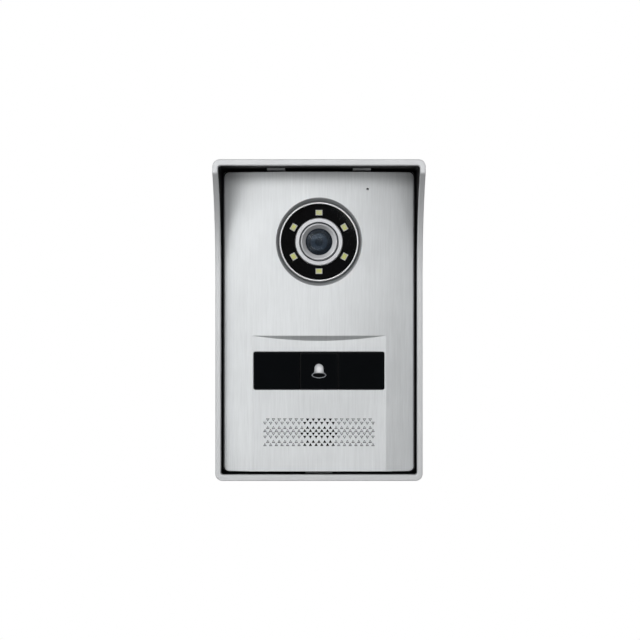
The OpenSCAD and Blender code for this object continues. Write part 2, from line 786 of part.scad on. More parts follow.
module board_chips() color([0.08, 0.08, 0.09]) {
  slab(board_front, board_front + 1.2) {
    translate([-20, 62]) square([14, 14], center = true);
    translate([-2, 64]) square([11, 8], center = true);
    translate([26, 50]) square([6, 5], center = true);
    translate([-28, 40]) square([7, 7], center = true);
    translate([27, -56]) square([6, 8], center = true);
  }
  slab(board_front, board_front + 3.4) {
    translate([-29, 26]) rrect(7, 7, 1.5);
    translate([28, -44]) rrect(6, 6, 1.5);
  }
}

module capacitors() color([0.25, 0.28, 0.4]) for (at = [[21, -65], [24, -6], [31, -6], [-31, 8]])
  bar(at, board_front, board_front + 5.8, 2.8);

module door_relay() color([0.1, 0.22, 0.5])
  slab(board_front, board_front + 7) translate([-26, -50]) rrect(12, 17, 0.6);

module terminal_block() color([0.1, 0.45, 0.22]) difference() {
  slab(board_front, 19.6) translate([0, 3]) square([30.4, 8.4], center = true);
  for (i = [-3.5:1:3.5]) {
    bar([i * 3.6, 3.6], 17, 20, 1.5);
    slab(13.2, 16.4) translate([i * 3.6, 0]) square([2.6, 5], center = true);
  }
}

module terminal_screws() color([0.72, 0.72, 0.74])
  for (i = [-3.5:1:3.5]) difference() {
    bar([i * 3.6, 3.6], 17, 19, 1.35);
    slab(18.5, 20) translate([i * 3.6, 3.6]) square([3, 0.5], center = true);
  }

module board_screws() color([0.7, 0.7, 0.72])
  for (at = board_screws_at) pan_screw(at, board_front, 2.2, 1.5, 1.2, 4.4);

module cable_grommet() color([0.07, 0.07, 0.07]) difference() {
  union() {
    slab(case_back - 1.2, case_back) translate([0, cable_z]) rrect(30, 15.5, 5);
    slab(case_back, case_back + case_wall) translate([0, cable_z]) rrect(25.8, 11.8, 3.9);
    slab(case_back + case_wall, case_back + case_wall + 1.2)
      translate([0, cable_z]) rrect(30, 15.5, 5);
  }
  for (x = [-1, 1]) bar([x * 6.5, cable_z], case_back - 2, case_back + 5, 3);
}

module camera_ribbon() color([0.85, 0.6, 0.25]) across(11)
  polygon([
    [-14.3, 30], [-14.5, 30], [-14.5, 24], [-14.1, 21.6], [-12.2, 19.4],
    [-12.2, 14], [-12, 14], [-12, 19.5], [-13.85, 21.7], [-14.3, 24]
  ]);

// ---- tamper switch ----

module tamper_switch() color([0.12, 0.12, 0.13]) difference() {
  slab(board_front, 18.4) translate([tamper_x, tamper_z]) rrect(9, 8, 0.6);
  bar([tamper_x, tamper_z], board_front - 1, 16.6, 2.3);
  bar([tamper_x, tamper_z], 16, 17.8, 1.2);
}

module tamper_plunger() color([0.85, 0.85, 0.83]) turned([tamper_x, tamper_z])
  polygon([
    [0, 0], [1.6, 0], [2, 0.4], [2, tamper_stop], [3.4, tamper_stop], [3.4, 10.1], [2, 10.1],
    [2, 11.6], [1, 11.6], [1, 16.4], [0, 16.4]
  ]);

module tamper_spring() color([0.75, 0.76, 0.78])
  coil([tamper_x, tamper_z], 11.6, 16.6, 1.55, 0.2, 6);

rain_hood();
hood_liner();
wall_gasket();
mounting_bracket();
bracket_screws();
security_screw();
front_panel();
panel_gasket();
front_frame();
rear_case();
case_seal();
case_screws();
camera_bezel();
camera_seal();
ring_window();
led_mask();
led_board();
led_packages();
led_phosphors();
lens_shroud();
lens_retainer();
lens_barrel();
lens_front_glass();
lens_rear_glass();
lens_mount();
camera_board();
image_sensor();
small_screws();
call_button();
bell_light_guide();
switch_plunger();
button_springs();
tact_switch();
keypad_board();
keypad_leds();
left_window();
right_window();
speaker_frame();
speaker_magnet();
speaker_cone();
speaker_gasket();
speaker_mesh();
speaker_leads();
microphone();
mic_boot();
main_board();
board_chips();
capacitors();
door_relay();
terminal_block();
terminal_screws();
board_screws();
cable_grommet();
camera_ribbon();
tamper_switch();
tamper_plunger();
tamper_spring();
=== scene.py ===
"""Visual model of a door intercom station in its rain hood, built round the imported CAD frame.

Every size is in metres. X runs to the right and Z up; the front faces -Y and the wall is y = 0,
so a "depth" is a distance in front of the wall. An outline is drawn as (x, z) points.
"""
import json
import logging
import math
from collections.abc import Callable, Iterable
from dataclasses import dataclass, field
from enum import Enum

import bmesh
import bpy
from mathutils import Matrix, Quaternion, Vector, geometry


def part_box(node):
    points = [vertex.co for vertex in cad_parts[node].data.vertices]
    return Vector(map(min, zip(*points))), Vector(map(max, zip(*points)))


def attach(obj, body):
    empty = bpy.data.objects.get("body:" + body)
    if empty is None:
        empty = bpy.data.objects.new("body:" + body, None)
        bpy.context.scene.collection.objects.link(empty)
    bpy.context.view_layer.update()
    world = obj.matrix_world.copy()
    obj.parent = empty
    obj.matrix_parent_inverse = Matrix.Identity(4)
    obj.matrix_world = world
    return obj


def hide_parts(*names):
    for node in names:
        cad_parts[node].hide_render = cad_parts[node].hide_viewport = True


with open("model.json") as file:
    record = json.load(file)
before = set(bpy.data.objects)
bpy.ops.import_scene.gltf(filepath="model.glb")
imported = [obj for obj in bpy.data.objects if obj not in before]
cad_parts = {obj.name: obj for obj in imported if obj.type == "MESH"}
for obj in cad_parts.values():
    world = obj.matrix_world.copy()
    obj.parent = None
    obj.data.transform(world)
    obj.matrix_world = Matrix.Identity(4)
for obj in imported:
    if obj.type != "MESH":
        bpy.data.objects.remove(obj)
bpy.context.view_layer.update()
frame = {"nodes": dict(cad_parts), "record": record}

LOG = logging.getLogger("door_station")

Point = tuple[float, float]
Place = tuple[float, float, float]
Colour = tuple[float, float, float]
Outline = Callable[[float], list[Point]]
Surface = Callable[[float, float], float]
NormalAt = Callable[[float, float], Vector]


class Body(Enum):
    """The CAD bodies that pieces ride on."""

    STATION = "station"
    CALL_BUTTON = "call_button"
    TAMPER_PLUNGER = "tamper_plunger"


class Side(Enum):
    """Left or right of the centre, as the sign of X."""

    LEFT = -1
    RIGHT = 1


class Pointing(Enum):
    """Which way a grille triangle points, as the sign of Z."""

    UP = 1
    DOWN = -1


# ---- outlines ----


def arc(centre: Point, radius: float, start: float, stop: float, steps: int) -> list[Point]:
    """Points along part of a circle.

    Args:
        centre: middle of the circle.
        radius: radius of the circle.
        start: first angle in degrees.
        stop: last angle in degrees.
        steps: number of equal steps between the two.

    Returns:
        The points in order, both ends included.
    """
    angles = [math.radians(start + (stop - start) * i / steps) for i in range(steps + 1)]
    return [(centre[0] + radius * math.cos(a), centre[1] + radius * math.sin(a)) for a in angles]


def disc(radius: float, centre: Point, steps: int = 96) -> Outline:
    """Circle that can grow.

    Args:
        radius: radius of the circle.
        centre: middle of the circle.
        steps: number of points.

    Returns:
        The outline, as a function of how far it grows.
    """
    return lambda grow: arc(centre, radius + grow, 0, 360, steps)[:-1]


def round_box(
    width: float,
    height: float,
    radius: float,
    centre: Point = (0.0, 0.0),
    spacing: float = 1.0,
    steps: int = 6,
) -> Outline:
    """Rectangle with round corners that can grow.

    Args:
        width: size along X.
        height: size along Z.
        radius: radius of the corners.
        centre: middle of the rectangle.
        spacing: longest distance between points along a side.
        steps: number of steps round a corner.

    Returns:
        The outline, as a function of how far it grows.
    """
    runs = (width - 2 * radius, height - 2 * radius)

    def at(grow: float) -> list[Point]:
        """Gives the outline grown by a distance.

        Args:
            grow: distance it grows by.

        Returns:
            The outline's points.
        """
        corners = []
        for quarter in range(4):
            across = 1 if quarter in (0, 3) else -1
            up = 1 if quarter < 2 else -1
            middle = (centre[0] + across * runs[0] / 2, centre[1] + up * runs[1] / 2)
            corners.append(arc(middle, max(radius + grow, 1e-6), 90 * quarter, 90 * quarter + 90, steps))
        points: list[Point] = []
        for quarter, corner in enumerate(corners):
            points += corner
            ahead = corners[(quarter + 1) % 4][0]
            count = math.ceil(runs[quarter % 2] / spacing)
            points += [between(corner[-1], ahead, i / count) for i in range(1, count)]
        return points

    return at


def between(a: Point, b: Point, share: float) -> Point:
    """Gives the point that lies a share of the way from a to b."""
    return (a[0] + (b[0] - a[0]) * share, a[1] + (b[1] - a[1]) * share)


def round_triangle(width: float, height: float, way: Pointing, centre: Point, radius: float) -> Outline:
    """Upright or inverted triangle with slightly round corners that can grow.

    Args:
        width: length of the flat side.
        height: distance from the flat side to the point.
        way: whether the triangle points up or down.
        centre: middle of the triangle's box.
        radius: radius of the corners.

    Returns:
        The outline, as a function of how far it grows.
    """
    sign = way.value
    flat = -sign * height / 2
    tips = [(sign * width / 2, flat), (0.0, sign * height / 2), (-sign * width / 2, flat)]

    def at(grow: float) -> list[Point]:
        """Gives the outline grown by a distance.

        Args:
            grow: distance it grows by.

        Returns:
            The outline's points.
        """
        points: list[Point] = []
        for i, tip in enumerate(tips):
            before, after = tips[i - 1], tips[(i + 1) % 3]
            turn_in = math.degrees(math.atan2(tip[1] - before[1], tip[0] - before[0])) - 90
            turn_out = math.degrees(math.atan2(after[1] - tip[1], after[0] - tip[0])) - 90
            sweep = (turn_out - turn_in) % 360
            half = math.radians(sweep / 2)
            middle_angle = math.radians(turn_in + sweep / 2)
            back = radius / math.cos(half)
            middle = (
                centre[0] + tip[0] - back * math.cos(middle_angle),
                centre[1] + tip[1] - back * math.sin(middle_angle),
            )
            points += arc(middle, radius + grow, turn_in, turn_in + sweep, 3)
        return points

    return at


def soften(profile: list[Point], radius: float, steps: int = 4) -> list[Point]:
    """Rounds the corners of a closed profile.

    Args:
        profile: corner points in order.
        radius: rounding of each corner, less where a side is too short for it.
        steps: number of steps round a corner.

    Returns:
        The profile with its corners rounded.
    """
    rounded: list[Point] = []
    for i, corner in enumerate(profile):
        here = Vector(corner)
        back = Vector(profile[i - 1]) - here
        ahead = Vector(profile[(i + 1) % len(profile)]) - here
        reach = min(radius, 0.45 * back.length, 0.45 * ahead.length)
        first = here + back.normalized() * reach
        last = here + ahead.normalized() * reach
        for step in range(steps + 1):
            t = step / steps
            bent = first * (1 - t) ** 2 + here * (2 * t * (1 - t)) + last * t**2
            rounded.append((bent.x, bent.y))
    return rounded


def is_inside(point: Point, loop: list[Point]) -> bool:
    """Tells whether a point lies inside a closed loop.

    Args:
        point: the point.
        loop: the loop's points in order.

    Returns:
        True if the point is inside.
    """
    inside = False
    for (x0, z0), (x1, z1) in zip(loop, loop[1:] + loop[:1]):
        if (z0 > point[1]) != (z1 > point[1]) and point[0] < (x1 - x0) * (point[1] - z0) / (z1 - z0) + x0:
            inside = not inside
    return inside


# ---- mesh building ----


class Draft:
    """Points and faces of one mesh while it is being drawn."""

    def __init__(self) -> None:
        """Starts an empty mesh."""
        self.points: list[Place] = []
        self.faces: list[tuple[int, ...]] = []
        self.shades: list[NormalAt | None] = []
        self.inks: list[int] = []

    def ring(self, outline: Iterable[Point], depth: float | Surface) -> list[int]:
        """Adds the points of a closed loop.

        Args:
            outline: the loop's (x, z) points.
            depth: its depth, or the surface that it lies on.

        Returns:
            The numbers of the new points.
        """
        first = len(self.points)
        for x, z in outline:
            self.points.append((x, -(depth(x, z) if callable(depth) else depth), z))
        return list(range(first, len(self.points)))

    def face(self, numbers: Iterable[int], shade: NormalAt | None = None, ink: int = 0) -> None:
        """Adds one face, with the surface normal it is shaded by if it has one, and the number of its finish.

        Args:
            numbers: numbers of its points, in order.
            shade: surface normal it is shaded by, if it has one.
            ink: number of its finish.
        """
        self.faces.append(tuple(numbers))
        self.shades.append(shade)
        self.inks.append(ink)

    def band(self, a: list[int], b: list[int], ink: int = 0) -> None:
        """Joins two closed loops of the same length by a band of faces.

        Args:
            a: numbers of the first loop.
            b: numbers of the second loop.
            ink: number of the finish.
        """
        for i in range(len(a)):
            j = (i + 1) % len(a)
            self.face((a[i], a[j], b[j], b[i]), None, ink)

    def stack(self, rings: list[list[int]], ink: int = 0, start: int = 0) -> None:
        """Joins each loop to the next one.

        Args:
            rings: the loops, from the first to the last.
            ink: number of the finish of the bands.
            start: number of the first band that has that finish.
        """
        for i in range(len(rings) - 1):
            self.band(rings[i], rings[i + 1], ink if i >= start else 0)

    def piece(self, name: str, sharp: float = 40.0) -> bpy.types.Object:
        """Makes the object.

        Args:
            name: name of the piece.
            sharp: angle in degrees from which an edge looks sharp.

        Returns:
            The new object, linked to the scene.
        """
        mesh = bpy.data.meshes.new(name)
        mesh.from_pydata(self.points, [], self.faces)
        shaded = any(self.shades)
        work = bmesh.new()
        work.from_mesh(mesh)
        if not shaded:
            bmesh.ops.remove_doubles(work, verts=work.verts, dist=1e-7)
        bmesh.ops.recalc_face_normals(work, faces=work.faces)
        work.to_mesh(mesh)
        work.free()
        mesh.shade_smooth()
        mesh.set_sharp_from_angle(angle=math.radians(sharp))
        if any(self.inks):
            mesh.polygons.foreach_set("material_index", self.inks)
        if shaded:
            normals = [Vector((0, 0, 0))] * len(mesh.loops)
            for polygon, shade in zip(mesh.polygons, self.shades):
                if shade:
                    for corner in polygon.loop_indices:
                        x, _, z = mesh.vertices[mesh.loops[corner].vertex_index].co
                        normals[corner] = shade(x, z)
            mesh.normals_split_custom_set(normals)
        made = bpy.data.objects.new(name, mesh)
        bpy.context.scene.collection.objects.link(made)
        if not shaded:
            even_normals(made)
        return made


def even_normals(piece: bpy.types.Object) -> None:
    """Lets the large faces of a piece stay flat beside its rounded edges.

    Args:
        piece: the piece.
    """
    normals = piece.modifiers.new("normals", "WEIGHTED_NORMAL")
    normals.keep_sharp = True
    normals.weight = 80


def turned(
    name: str, profile: list[Point], centre: Point, steps: int = 144, sharp: float = 40.0
) -> bpy.types.Object:
    """Makes a solid of revolution about a line along the depth.

    Args:
        name: name of the piece.
        profile: closed profile as (radius, depth) points.
        centre: (x, z) of the axis.
        steps: number of steps round the axis.
        sharp: angle in degrees from which an edge looks sharp.

    Returns:
        The new object.
    """
    draft = Draft()
    rings = [draft.ring(disc(radius, centre, steps)(0), depth) for radius, depth in profile]
    draft.stack(rings + rings[:1])
    return draft.piece(name, sharp)


def edge_rings(
    outline: Outline, front: Surface, edge: float, steps: int = 4
) -> list[tuple[list[Point], Surface]]:
    """Loops that round the front edge of a plate or of a hole in it.

    Args:
        outline: the wall's outline.
        front: surface of the plate's front.
        edge: rounding; above 0 the edge lies inside the outline, and below 0 outside it.
        steps: number of steps round the edge.

    Returns:
        The loops from the front face to the wall, each with the surface it lies on.
    """
    size = abs(edge)
    rings = []
    for step in range(steps + 1):
        a = math.radians(90 * step / steps)
        drop = size * (1 - math.cos(a))
        rings.append((outline(-edge * (1 - math.sin(a))), lambda x, z, drop=drop: front(x, z) - drop))
    return rings


@dataclass
class Opening:
    """Opening in a plate: its loops from the front to the back, or to the floor of a blind one.

    Its wall has the finish numbered ink, from the band numbered start.
    """

    rings: list[tuple[list[Point], float | Surface]]
    blind: bool = False
    ink: int = 0
    start: int = 0


@dataclass
class Plate:
    """Plate with openings, on a front surface made of regions that meet in creases."""

    border: list[tuple[list[Point], float | Surface]]
    front: Surface
    back: float | Surface
    openings: list[Opening] = field(default_factory=list)
    creases: list[list[Point]] = field(default_factory=list)
    filling: list[Point] = field(default_factory=list)
    shade: Callable[[float, float], NormalAt] | None = None

    def build(self, name: str) -> bpy.types.Object:
        """Makes the plate.

        Args:
            name: name of the piece.

        Returns:
            The new object.
        """
        draft = Draft()
        border = [draft.ring(points, depth) for points, depth in self.border]
        walls = [[draft.ring(points, depth) for points, depth in hole.rings] for hole in self.openings]
        draft.stack(border)
        for wall, hole in zip(walls, self.openings):
            draft.stack(wall, hole.ink, hole.start)
            if hole.blind:
                draft.face(wall[-1])
        self.sheet(draft, border[0], [wall[0] for wall in walls], self.front, True)
        through = [wall[-1] for wall, hole in zip(walls, self.openings) if not hole.blind]
        self.sheet(draft, border[-1], through, self.back, False)
        return draft.piece(name)

    def sheet(
        self, draft: Draft, border: list[int], holes: list[list[int]], depth: float | Surface, seen: bool
    ) -> None:
        """Fills a face of the plate with triangles.

        Args:
            draft: mesh that the triangles are added to.
            border: numbers of the border's points.
            holes: numbers of each hole's points.
            depth: surface of the face.
            seen: True for the front, which has the creases and the shading.
        """
        numbers: list[int | None] = []
        flat: list[Point] = []
        edges: list[tuple[int, int]] = []
        loops = [[(draft.points[n][0], draft.points[n][2]) for n in loop] for loop in (border, *holes)]
        for loop, known in zip(loops, (border, *holes)):
            first = len(flat)
            flat += loop
            numbers += known
            edges += [(first + i, first + (i + 1) % len(loop)) for i in range(len(loop))]
        for crease in self.creases if seen else []:
            first = len(flat)
            flat += crease
            edges += [(first + i, first + i + 1) for i in range(len(crease) - 1)]
        keep_off = [
            (min(x for x, _ in p), max(x for x, _ in p), min(z for _, z in p), max(z for _, z in p))
            for p in loops
        ]
        flat += [p for p in self.filling if self.is_free(p, keep_off[1:])]
        numbers += [None] * (len(flat) - len(numbers))
        scaled = [Vector((x * 1000, z * 1000)) for x, z in flat]
        found, _, triangles, sources, _, _ = geometry.delaunay_2d_cdt(scaled, edges, [], 0, 1e-5)
        points: list[int] = []
        for place, source in zip(found, sources):
            known = [numbers[s] for s in source if numbers[s] is not None]
            spot = (place.x / 1000, place.y / 1000)
            points.append(known[0] if known else draft.ring([spot], depth)[0])
        for triangle in triangles:
            x = sum(found[i].x for i in triangle) / 3000
            z = sum(found[i].y for i in triangle) / 3000
            if not is_inside((x, z), loops[0]) or self.is_in_hole((x, z), loops[1:], keep_off[1:]):
                continue
            draft.face((points[i] for i in triangle), self.shade(x, z) if seen and self.shade else None)

    @staticmethod
    def is_free(point: Point, boxes: list[tuple[float, float, float, float]]) -> bool:
        """Tells whether a point lies clear of the holes' boxes.

        Args:
            point: the point.
            boxes: the holes' limits: least and most x, least and most z.

        Returns:
            True if the point is clear of them all.
        """
        near = 0.0002
        return not any(
            a - near < point[0] < b + near and c - near < point[1] < d + near for a, b, c, d in boxes
        )

    @staticmethod
    def is_in_hole(
        point: Point, loops: list[list[Point]], boxes: list[tuple[float, float, float, float]]
    ) -> bool:
        """Tells whether a point lies inside one of the holes.

        Args:
            point: the point.
            loops: the holes' outlines.
            boxes: the outlines' limits: least and most x, least and most z.

        Returns:
            True if the point is in a hole.
        """
        return any(
            a < point[0] < b and c < point[1] < d and is_inside(point, loop)
            for loop, (a, b, c, d) in zip(loops, boxes)
        )


def slab(name: str, outline: Outline, back: float, front: float, edge: float) -> bpy.types.Object:
    """Makes a flat piece with a rounded front edge and a small rounding behind.

    Args:
        name: name of the piece.
        outline: outline of the piece.
        back: depth of its back.
        front: depth of its front.
        edge: rounding of the front edge.

    Returns:
        The new object.
    """
    draft = Draft()
    fronts = [draft.ring(points, depth) for points, depth in edge_rings(outline, lambda x, z: front, edge)]
    backs = [draft.ring(outline(0), back + 0.0001), draft.ring(outline(-0.0001), back)]
    draft.stack(fronts + backs)
    draft.face(fronts[0])
    draft.face(backs[-1])
    return draft.piece(name)


def centre_of(node: str) -> Point:
    """Gives the (x, z) middle of a CAD node."""
    low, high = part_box(node)
    return ((low.x + high.x) / 2, (low.z + high.z) / 2)


def front_of(node: str) -> float:
    """Gives the depth of a CAD node's front."""
    return -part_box(node)[0].y


def back_of(node: str) -> float:
    """Gives the depth of a CAD node's back."""
    return -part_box(node)[1].y


# ---- finishes ----


class Graph:
    """Shader nodes of one material."""

    def __init__(self, name: str) -> None:
        """Starts an empty material of that name."""
        self.material = bpy.data.materials.new(name)
        self.material.use_nodes = True
        self.tree = self.material.node_tree
        self.tree.nodes.clear()
        self.output = self.tree.nodes.new("ShaderNodeOutputMaterial")

    def add(self, kind: str, settings: dict | None = None, **inputs: object) -> bpy.types.Node:
        """Adds a node.

        Args:
            kind: the node's type, without the "ShaderNode" in front.
            settings: values of the node's own properties.
            inputs: socket name, with _ for a space, to a value or to a socket to link from.

        Returns:
            The new node.
        """
        node = self.tree.nodes.new("ShaderNode" + kind)
        for key, value in (settings or {}).items():
            setattr(node, key, value)
        for key, value in inputs.items():
            self.feed(node.inputs[key.replace("_", " ")], value)
        return node

    def feed(self, socket: bpy.types.NodeSocket, value: object) -> None:
        """Sets a socket to a value, or links it from another socket.

        Args:
            socket: the socket to set.
            value: a number, a colour or a socket to link from.
        """
        if isinstance(value, bpy.types.NodeSocket):
            self.tree.links.new(value, socket)
        elif socket.type == "RGBA" and len(value) == 3:
            socket.default_value = (*value, 1.0)
        else:
            socket.default_value = value

    def maths(self, operation: str, a: object, b: object = 0.0) -> bpy.types.NodeSocket:
        """Gives the result of a sum, product or other operation on two numbers.

        Args:
            operation: the operation's name.
            a: first number or socket.
            b: second number or socket.

        Returns:
            The socket of the result.
        """
        node = self.add("Math", {"operation": operation})
        self.feed(node.inputs[0], a)
        self.feed(node.inputs[1], b)
        return node.outputs[0]

    def place(self, stretch: Place = (1.0, 1.0, 1.0), centre: Point = (0.0, 0.0)) -> bpy.types.NodeSocket:
        """Gives the point on the object, measured from a centre and scaled along each axis.

        Args:
            stretch: scale along each axis.
            centre: (x, z) of the centre.

        Returns:
            The socket of the point.
        """
        coordinates = self.add("TexCoord").outputs["Object"]
        moved = self.add("Mapping", {"vector_type": "POINT"}, Vector=coordinates)
        moved.inputs["Scale"].default_value = stretch
        moved.inputs["Location"].default_value = (-centre[0] * stretch[0], 0.0, -centre[1] * stretch[2])
        return moved.outputs[0]

    def noise(
        self, scale: float, detail: float = 2.0, at: object = None, rough: float = 0.5
    ) -> bpy.types.NodeSocket:
        """Gives a noise pattern from 0 to 1.

        Args:
            scale: how fine the pattern is.
            detail: number of finer layers.
            at: socket of the point, or None for the plain place.
            rough: strength of the finer layers.

        Returns:
            The socket of the pattern.
        """
        place = at if at is not None else self.place()
        node = self.add("TexNoise", Vector=place, Scale=scale, Detail=detail, Roughness=rough)
        return node.outputs[0]

    def level(self, value: object, low: float, high: float, span: Point = (0.0, 1.0)) -> bpy.types.NodeSocket:
        """Moves a number from a span to between low and high.

        Args:
            value: number or socket to move.
            low: result at the start of the span.
            high: result at its end.
            span: start and end of the span.

        Returns:
            The socket of the result.
        """
        node = self.add("MapRange")
        for i, number in enumerate((value, span[0], span[1], low, high)):
            self.feed(node.inputs[i], number)
        return node.outputs[0]

    def tint(self, share: object, a: object, b: object, way: str = "MIX") -> bpy.types.NodeSocket:
        """Mixes two colours.

        Args:
            share: share of the second colour.
            a: first colour or socket.
            b: second colour or socket.
            way: the blend's name.

        Returns:
            The socket of the mixed colour.
        """
        node = self.add("Mix", {"data_type": "RGBA", "blend_type": way})
        self.feed(node.inputs[0], share)
        self.feed(node.inputs[6], a)
        self.feed(node.inputs[7], b)
        return node.outputs[2]

    def relief(self, height: object, depth: float, strength: float = 1.0) -> bpy.types.NodeSocket:
        """Gives the surface normal of a relief of that depth."""
        return self.add("Bump", Height=height, Strength=strength, Distance=depth).outputs[0]

    def edge_mask(self, radius: float) -> bpy.types.NodeSocket:
        """Gives 1 on edges and 0 away from them.

        Args:
            radius: reach of the edges.

        Returns:
            The socket of the mask.
        """
        rounded = self.add("Bevel", {"samples": 4}, Radius=radius).outputs[0]
        true_normal = self.add("NewGeometry").outputs["Normal"]
        dot = self.add("VectorMath", {"operation": "DOT_PRODUCT"})
        self.feed(dot.inputs[0], rounded)
        self.feed(dot.inputs[1], true_normal)
        return self.level(dot.outputs["Value"], 1.0, 0.0, (0.80, 0.995))

    def finish(self, shader: bpy.types.NodeSocket) -> bpy.types.Material:
        """Links the shader to the material's surface and gives the material."""
        self.tree.links.new(shader, self.output.inputs["Surface"])
        return self.material


@dataclass(frozen=True)
class Finish:
    """Moulded or painted surface with a drifting colour, an uneven sheen and a fine relief."""

    colour: Colour
    roughness: float = 0.5
    metallic: float = 0.0
    drift: float = 0.12
    patch: float = 90.0
    unevenness: float = 0.06
    grain: float = 3000.0
    relief: float = 0.00002
    worn: Colour | None = None
    worn_reach: float = 0.00025
    coat: float = 0.0
    coat_roughness: float = 0.03
    specular: float = 0.5

    def pattern(self, graph: Graph) -> bpy.types.NodeSocket:
        """Gives the relief's height from 0 to 1."""
        return graph.noise(self.grain, 3.0)

    def colours(self, graph: Graph, pattern: bpy.types.NodeSocket) -> bpy.types.NodeSocket:
        """Gives the colour, darker in patches and in the relief's hollows.

        Args:
            graph: graph of the material.
            pattern: the relief's height.

        Returns:
            The socket of the colour.
        """
        patches = graph.noise(self.patch, 3.0)
        mixed = graph.maths("MULTIPLY", graph.maths("ADD", patches, pattern), 0.5)
        dark = tuple(c * (1 - self.drift) for c in self.colour)
        light = tuple(min(1.0, c * (1 + self.drift * 0.6)) for c in self.colour)
        colour = graph.tint(graph.level(mixed, 0.0, 1.0, (0.3, 0.7)), dark, light)
        if self.worn is None:
            return colour
        edges = graph.edge_mask(self.worn_reach)
        wear = graph.maths("MULTIPLY", edges, graph.level(patches, 0.2, 0.9, (0.35, 0.65)))
        return graph.tint(wear, colour, self.worn)

    def build(self, name: str) -> bpy.types.Material:
        """Makes the material.

        Args:
            name: name of the material.

        Returns:
            The new material.
        """
        graph = Graph(name)
        pattern = self.pattern(graph)
        blotches = graph.noise(self.patch * 2.3, 4.0)
        smudges = graph.maths("MULTIPLY", graph.maths("ADD", blotches, pattern), 0.5)
        low = max(0.02, self.roughness - self.unevenness)
        shader = graph.add(
            "BsdfPrincipled",
            Base_Color=self.colours(graph, pattern),
            Metallic=self.metallic,
            Roughness=graph.level(smudges, low, self.roughness + self.unevenness, (0.3, 0.7)),
            Normal=graph.relief(pattern, self.relief),
            Coat_Weight=self.coat,
            Coat_Roughness=self.coat_roughness,
            Specular_IOR_Level=self.specular,
        )
        return graph.finish(shader.outputs[0])


@dataclass(frozen=True)
class BrushedMetal(Finish):
    """Sheet metal brushed up and down, with long scratches of several widths."""

    streak: float = 1600.0
    length: float = 0.05

    def pattern(self, graph: Graph) -> bpy.types.NodeSocket:
        """Gives the scratches' height from 0 to 1.

        Args:
            graph: graph of the material.

        Returns:
            The socket of the height.
        """
        fine = graph.noise(1.0, 3.0, graph.place((self.streak, 90.0, self.streak * self.length)), 0.6)
        stretch = (self.streak * 0.35, 40.0, self.streak * self.length * 0.35)
        wide = graph.noise(1.0, 3.0, graph.place(stretch), 0.6)
        return graph.tint(0.35, fine, wide)


@dataclass(frozen=True)
class TurnedMetal(Finish):
    """Metal turned on a lathe, with fine rings round its axis."""

    pitch: float = 0.00022

    def pattern(self, graph: Graph) -> bpy.types.NodeSocket:
        """Gives the rings' height from 0 to 1.

        Args:
            graph: graph of the material.

        Returns:
            The socket of the height.
        """
        place = graph.add("SeparateXYZ", Vector=graph.place((1.0, 1.0, 1.0), centre_of("lens_shroud")))
        across = graph.maths("POWER", place.outputs[0], 2.0)
        up = graph.maths("POWER", place.outputs[2], 2.0)
        reach = graph.maths("SQRT", graph.maths("ADD", across, up))
        line = graph.add("CombineXYZ", X=reach, Y=graph.maths("MULTIPLY", place.outputs[1], 0.5))
        return graph.noise(1.0 / self.pitch, 2.0, line.outputs[0], 0.6)


@dataclass(frozen=True)
class PowderCoat(Finish):
    """Metallic powder coat: small glinting flakes under a slightly wavy surface."""

    flake: float = 5200.0

    def pattern(self, graph: Graph) -> bpy.types.NodeSocket:
        """Gives the flakes and the waves as a height from 0 to 1."""
        flakes = graph.add("TexVoronoi", Vector=graph.place(), Scale=self.flake).outputs["Distance"]
        return graph.tint(0.45, graph.noise(1400.0, 3.0), flakes)


@dataclass(frozen=True)
class WovenCloth(Finish):
    """Open acoustic cloth of crossing threads."""

    threads: float = 2200.0

    def pattern(self, graph: Graph) -> bpy.types.NodeSocket:
        """Gives the threads' height from 0 to 1.

        Args:
            graph: graph of the material.

        Returns:
            The socket of the height.
        """
        ways = []
        for direction in ("X", "Z"):
            wave = graph.add(
                "TexWave", {"bands_direction": direction}, Vector=graph.place(), Scale=self.threads / 6.28
            )
            ways.append(wave.outputs[1])
        return graph.maths("MULTIPLY", ways[0], ways[1])


@dataclass(frozen=True)
class CircuitBoard(Finish):
    """Solder mask over copper tracks."""

    tracks: float = 420.0

    def pattern(self, graph: Graph) -> bpy.types.NodeSocket:
        """Gives the tracks' height from 0 to 1.

        Args:
            graph: graph of the material.

        Returns:
            The socket of the height.
        """
        cells = graph.add(
            "TexVoronoi", {"distance": "CHEBYCHEV", "feature": "F1"}, Vector=graph.place(), Scale=self.tracks
        )
        return graph.level(cells.outputs["Distance"], 0.0, 1.0, (0.28, 0.34))


@dataclass(frozen=True)
class Phosphor(Finish):
    """Yellow phosphor in clear resin, paler where the chip under it shows."""

    pale: Colour = (0.88, 0.89, 0.66)

    def colours(self, graph: Graph, pattern: bpy.types.NodeSocket) -> bpy.types.NodeSocket:
        """Gives the yellow with pale patches."""
        patches = graph.noise(420.0, 2.0)
        return graph.tint(graph.level(patches, 0.0, 1.0, (0.5, 0.8)), self.colour, self.pale)


@dataclass(frozen=True)
class LensElementPaintedStop(Finish):
    """Coated glass element deep in the barrel, with a darker disc painted in its middle as the shade seen
    through the stop.
    """

    stop: float = 0.0021

    def colours(self, graph: Graph, pattern: bpy.types.NodeSocket) -> bpy.types.NodeSocket:
        """Gives the coating's colour, with painted shade inside the stop.

        Args:
            graph: graph of the material.
            pattern: the relief's height; not used.

        Returns:
            The socket of the colour.
        """
        stretch = 1.0 / (self.stop * 2)
        place = graph.place((stretch, 0.0, stretch), centre_of("lens_shroud"))
        fall = graph.add("TexGradient", {"gradient_type": "SPHERICAL"}, Vector=place).outputs[1]
        # Darker colour inside the stop: painted shade.
        dark = tuple(c * 0.45 for c in self.colour)
        return graph.tint(graph.level(fall, 0.0, 1.0, (0.46, 0.54)), self.colour, dark)


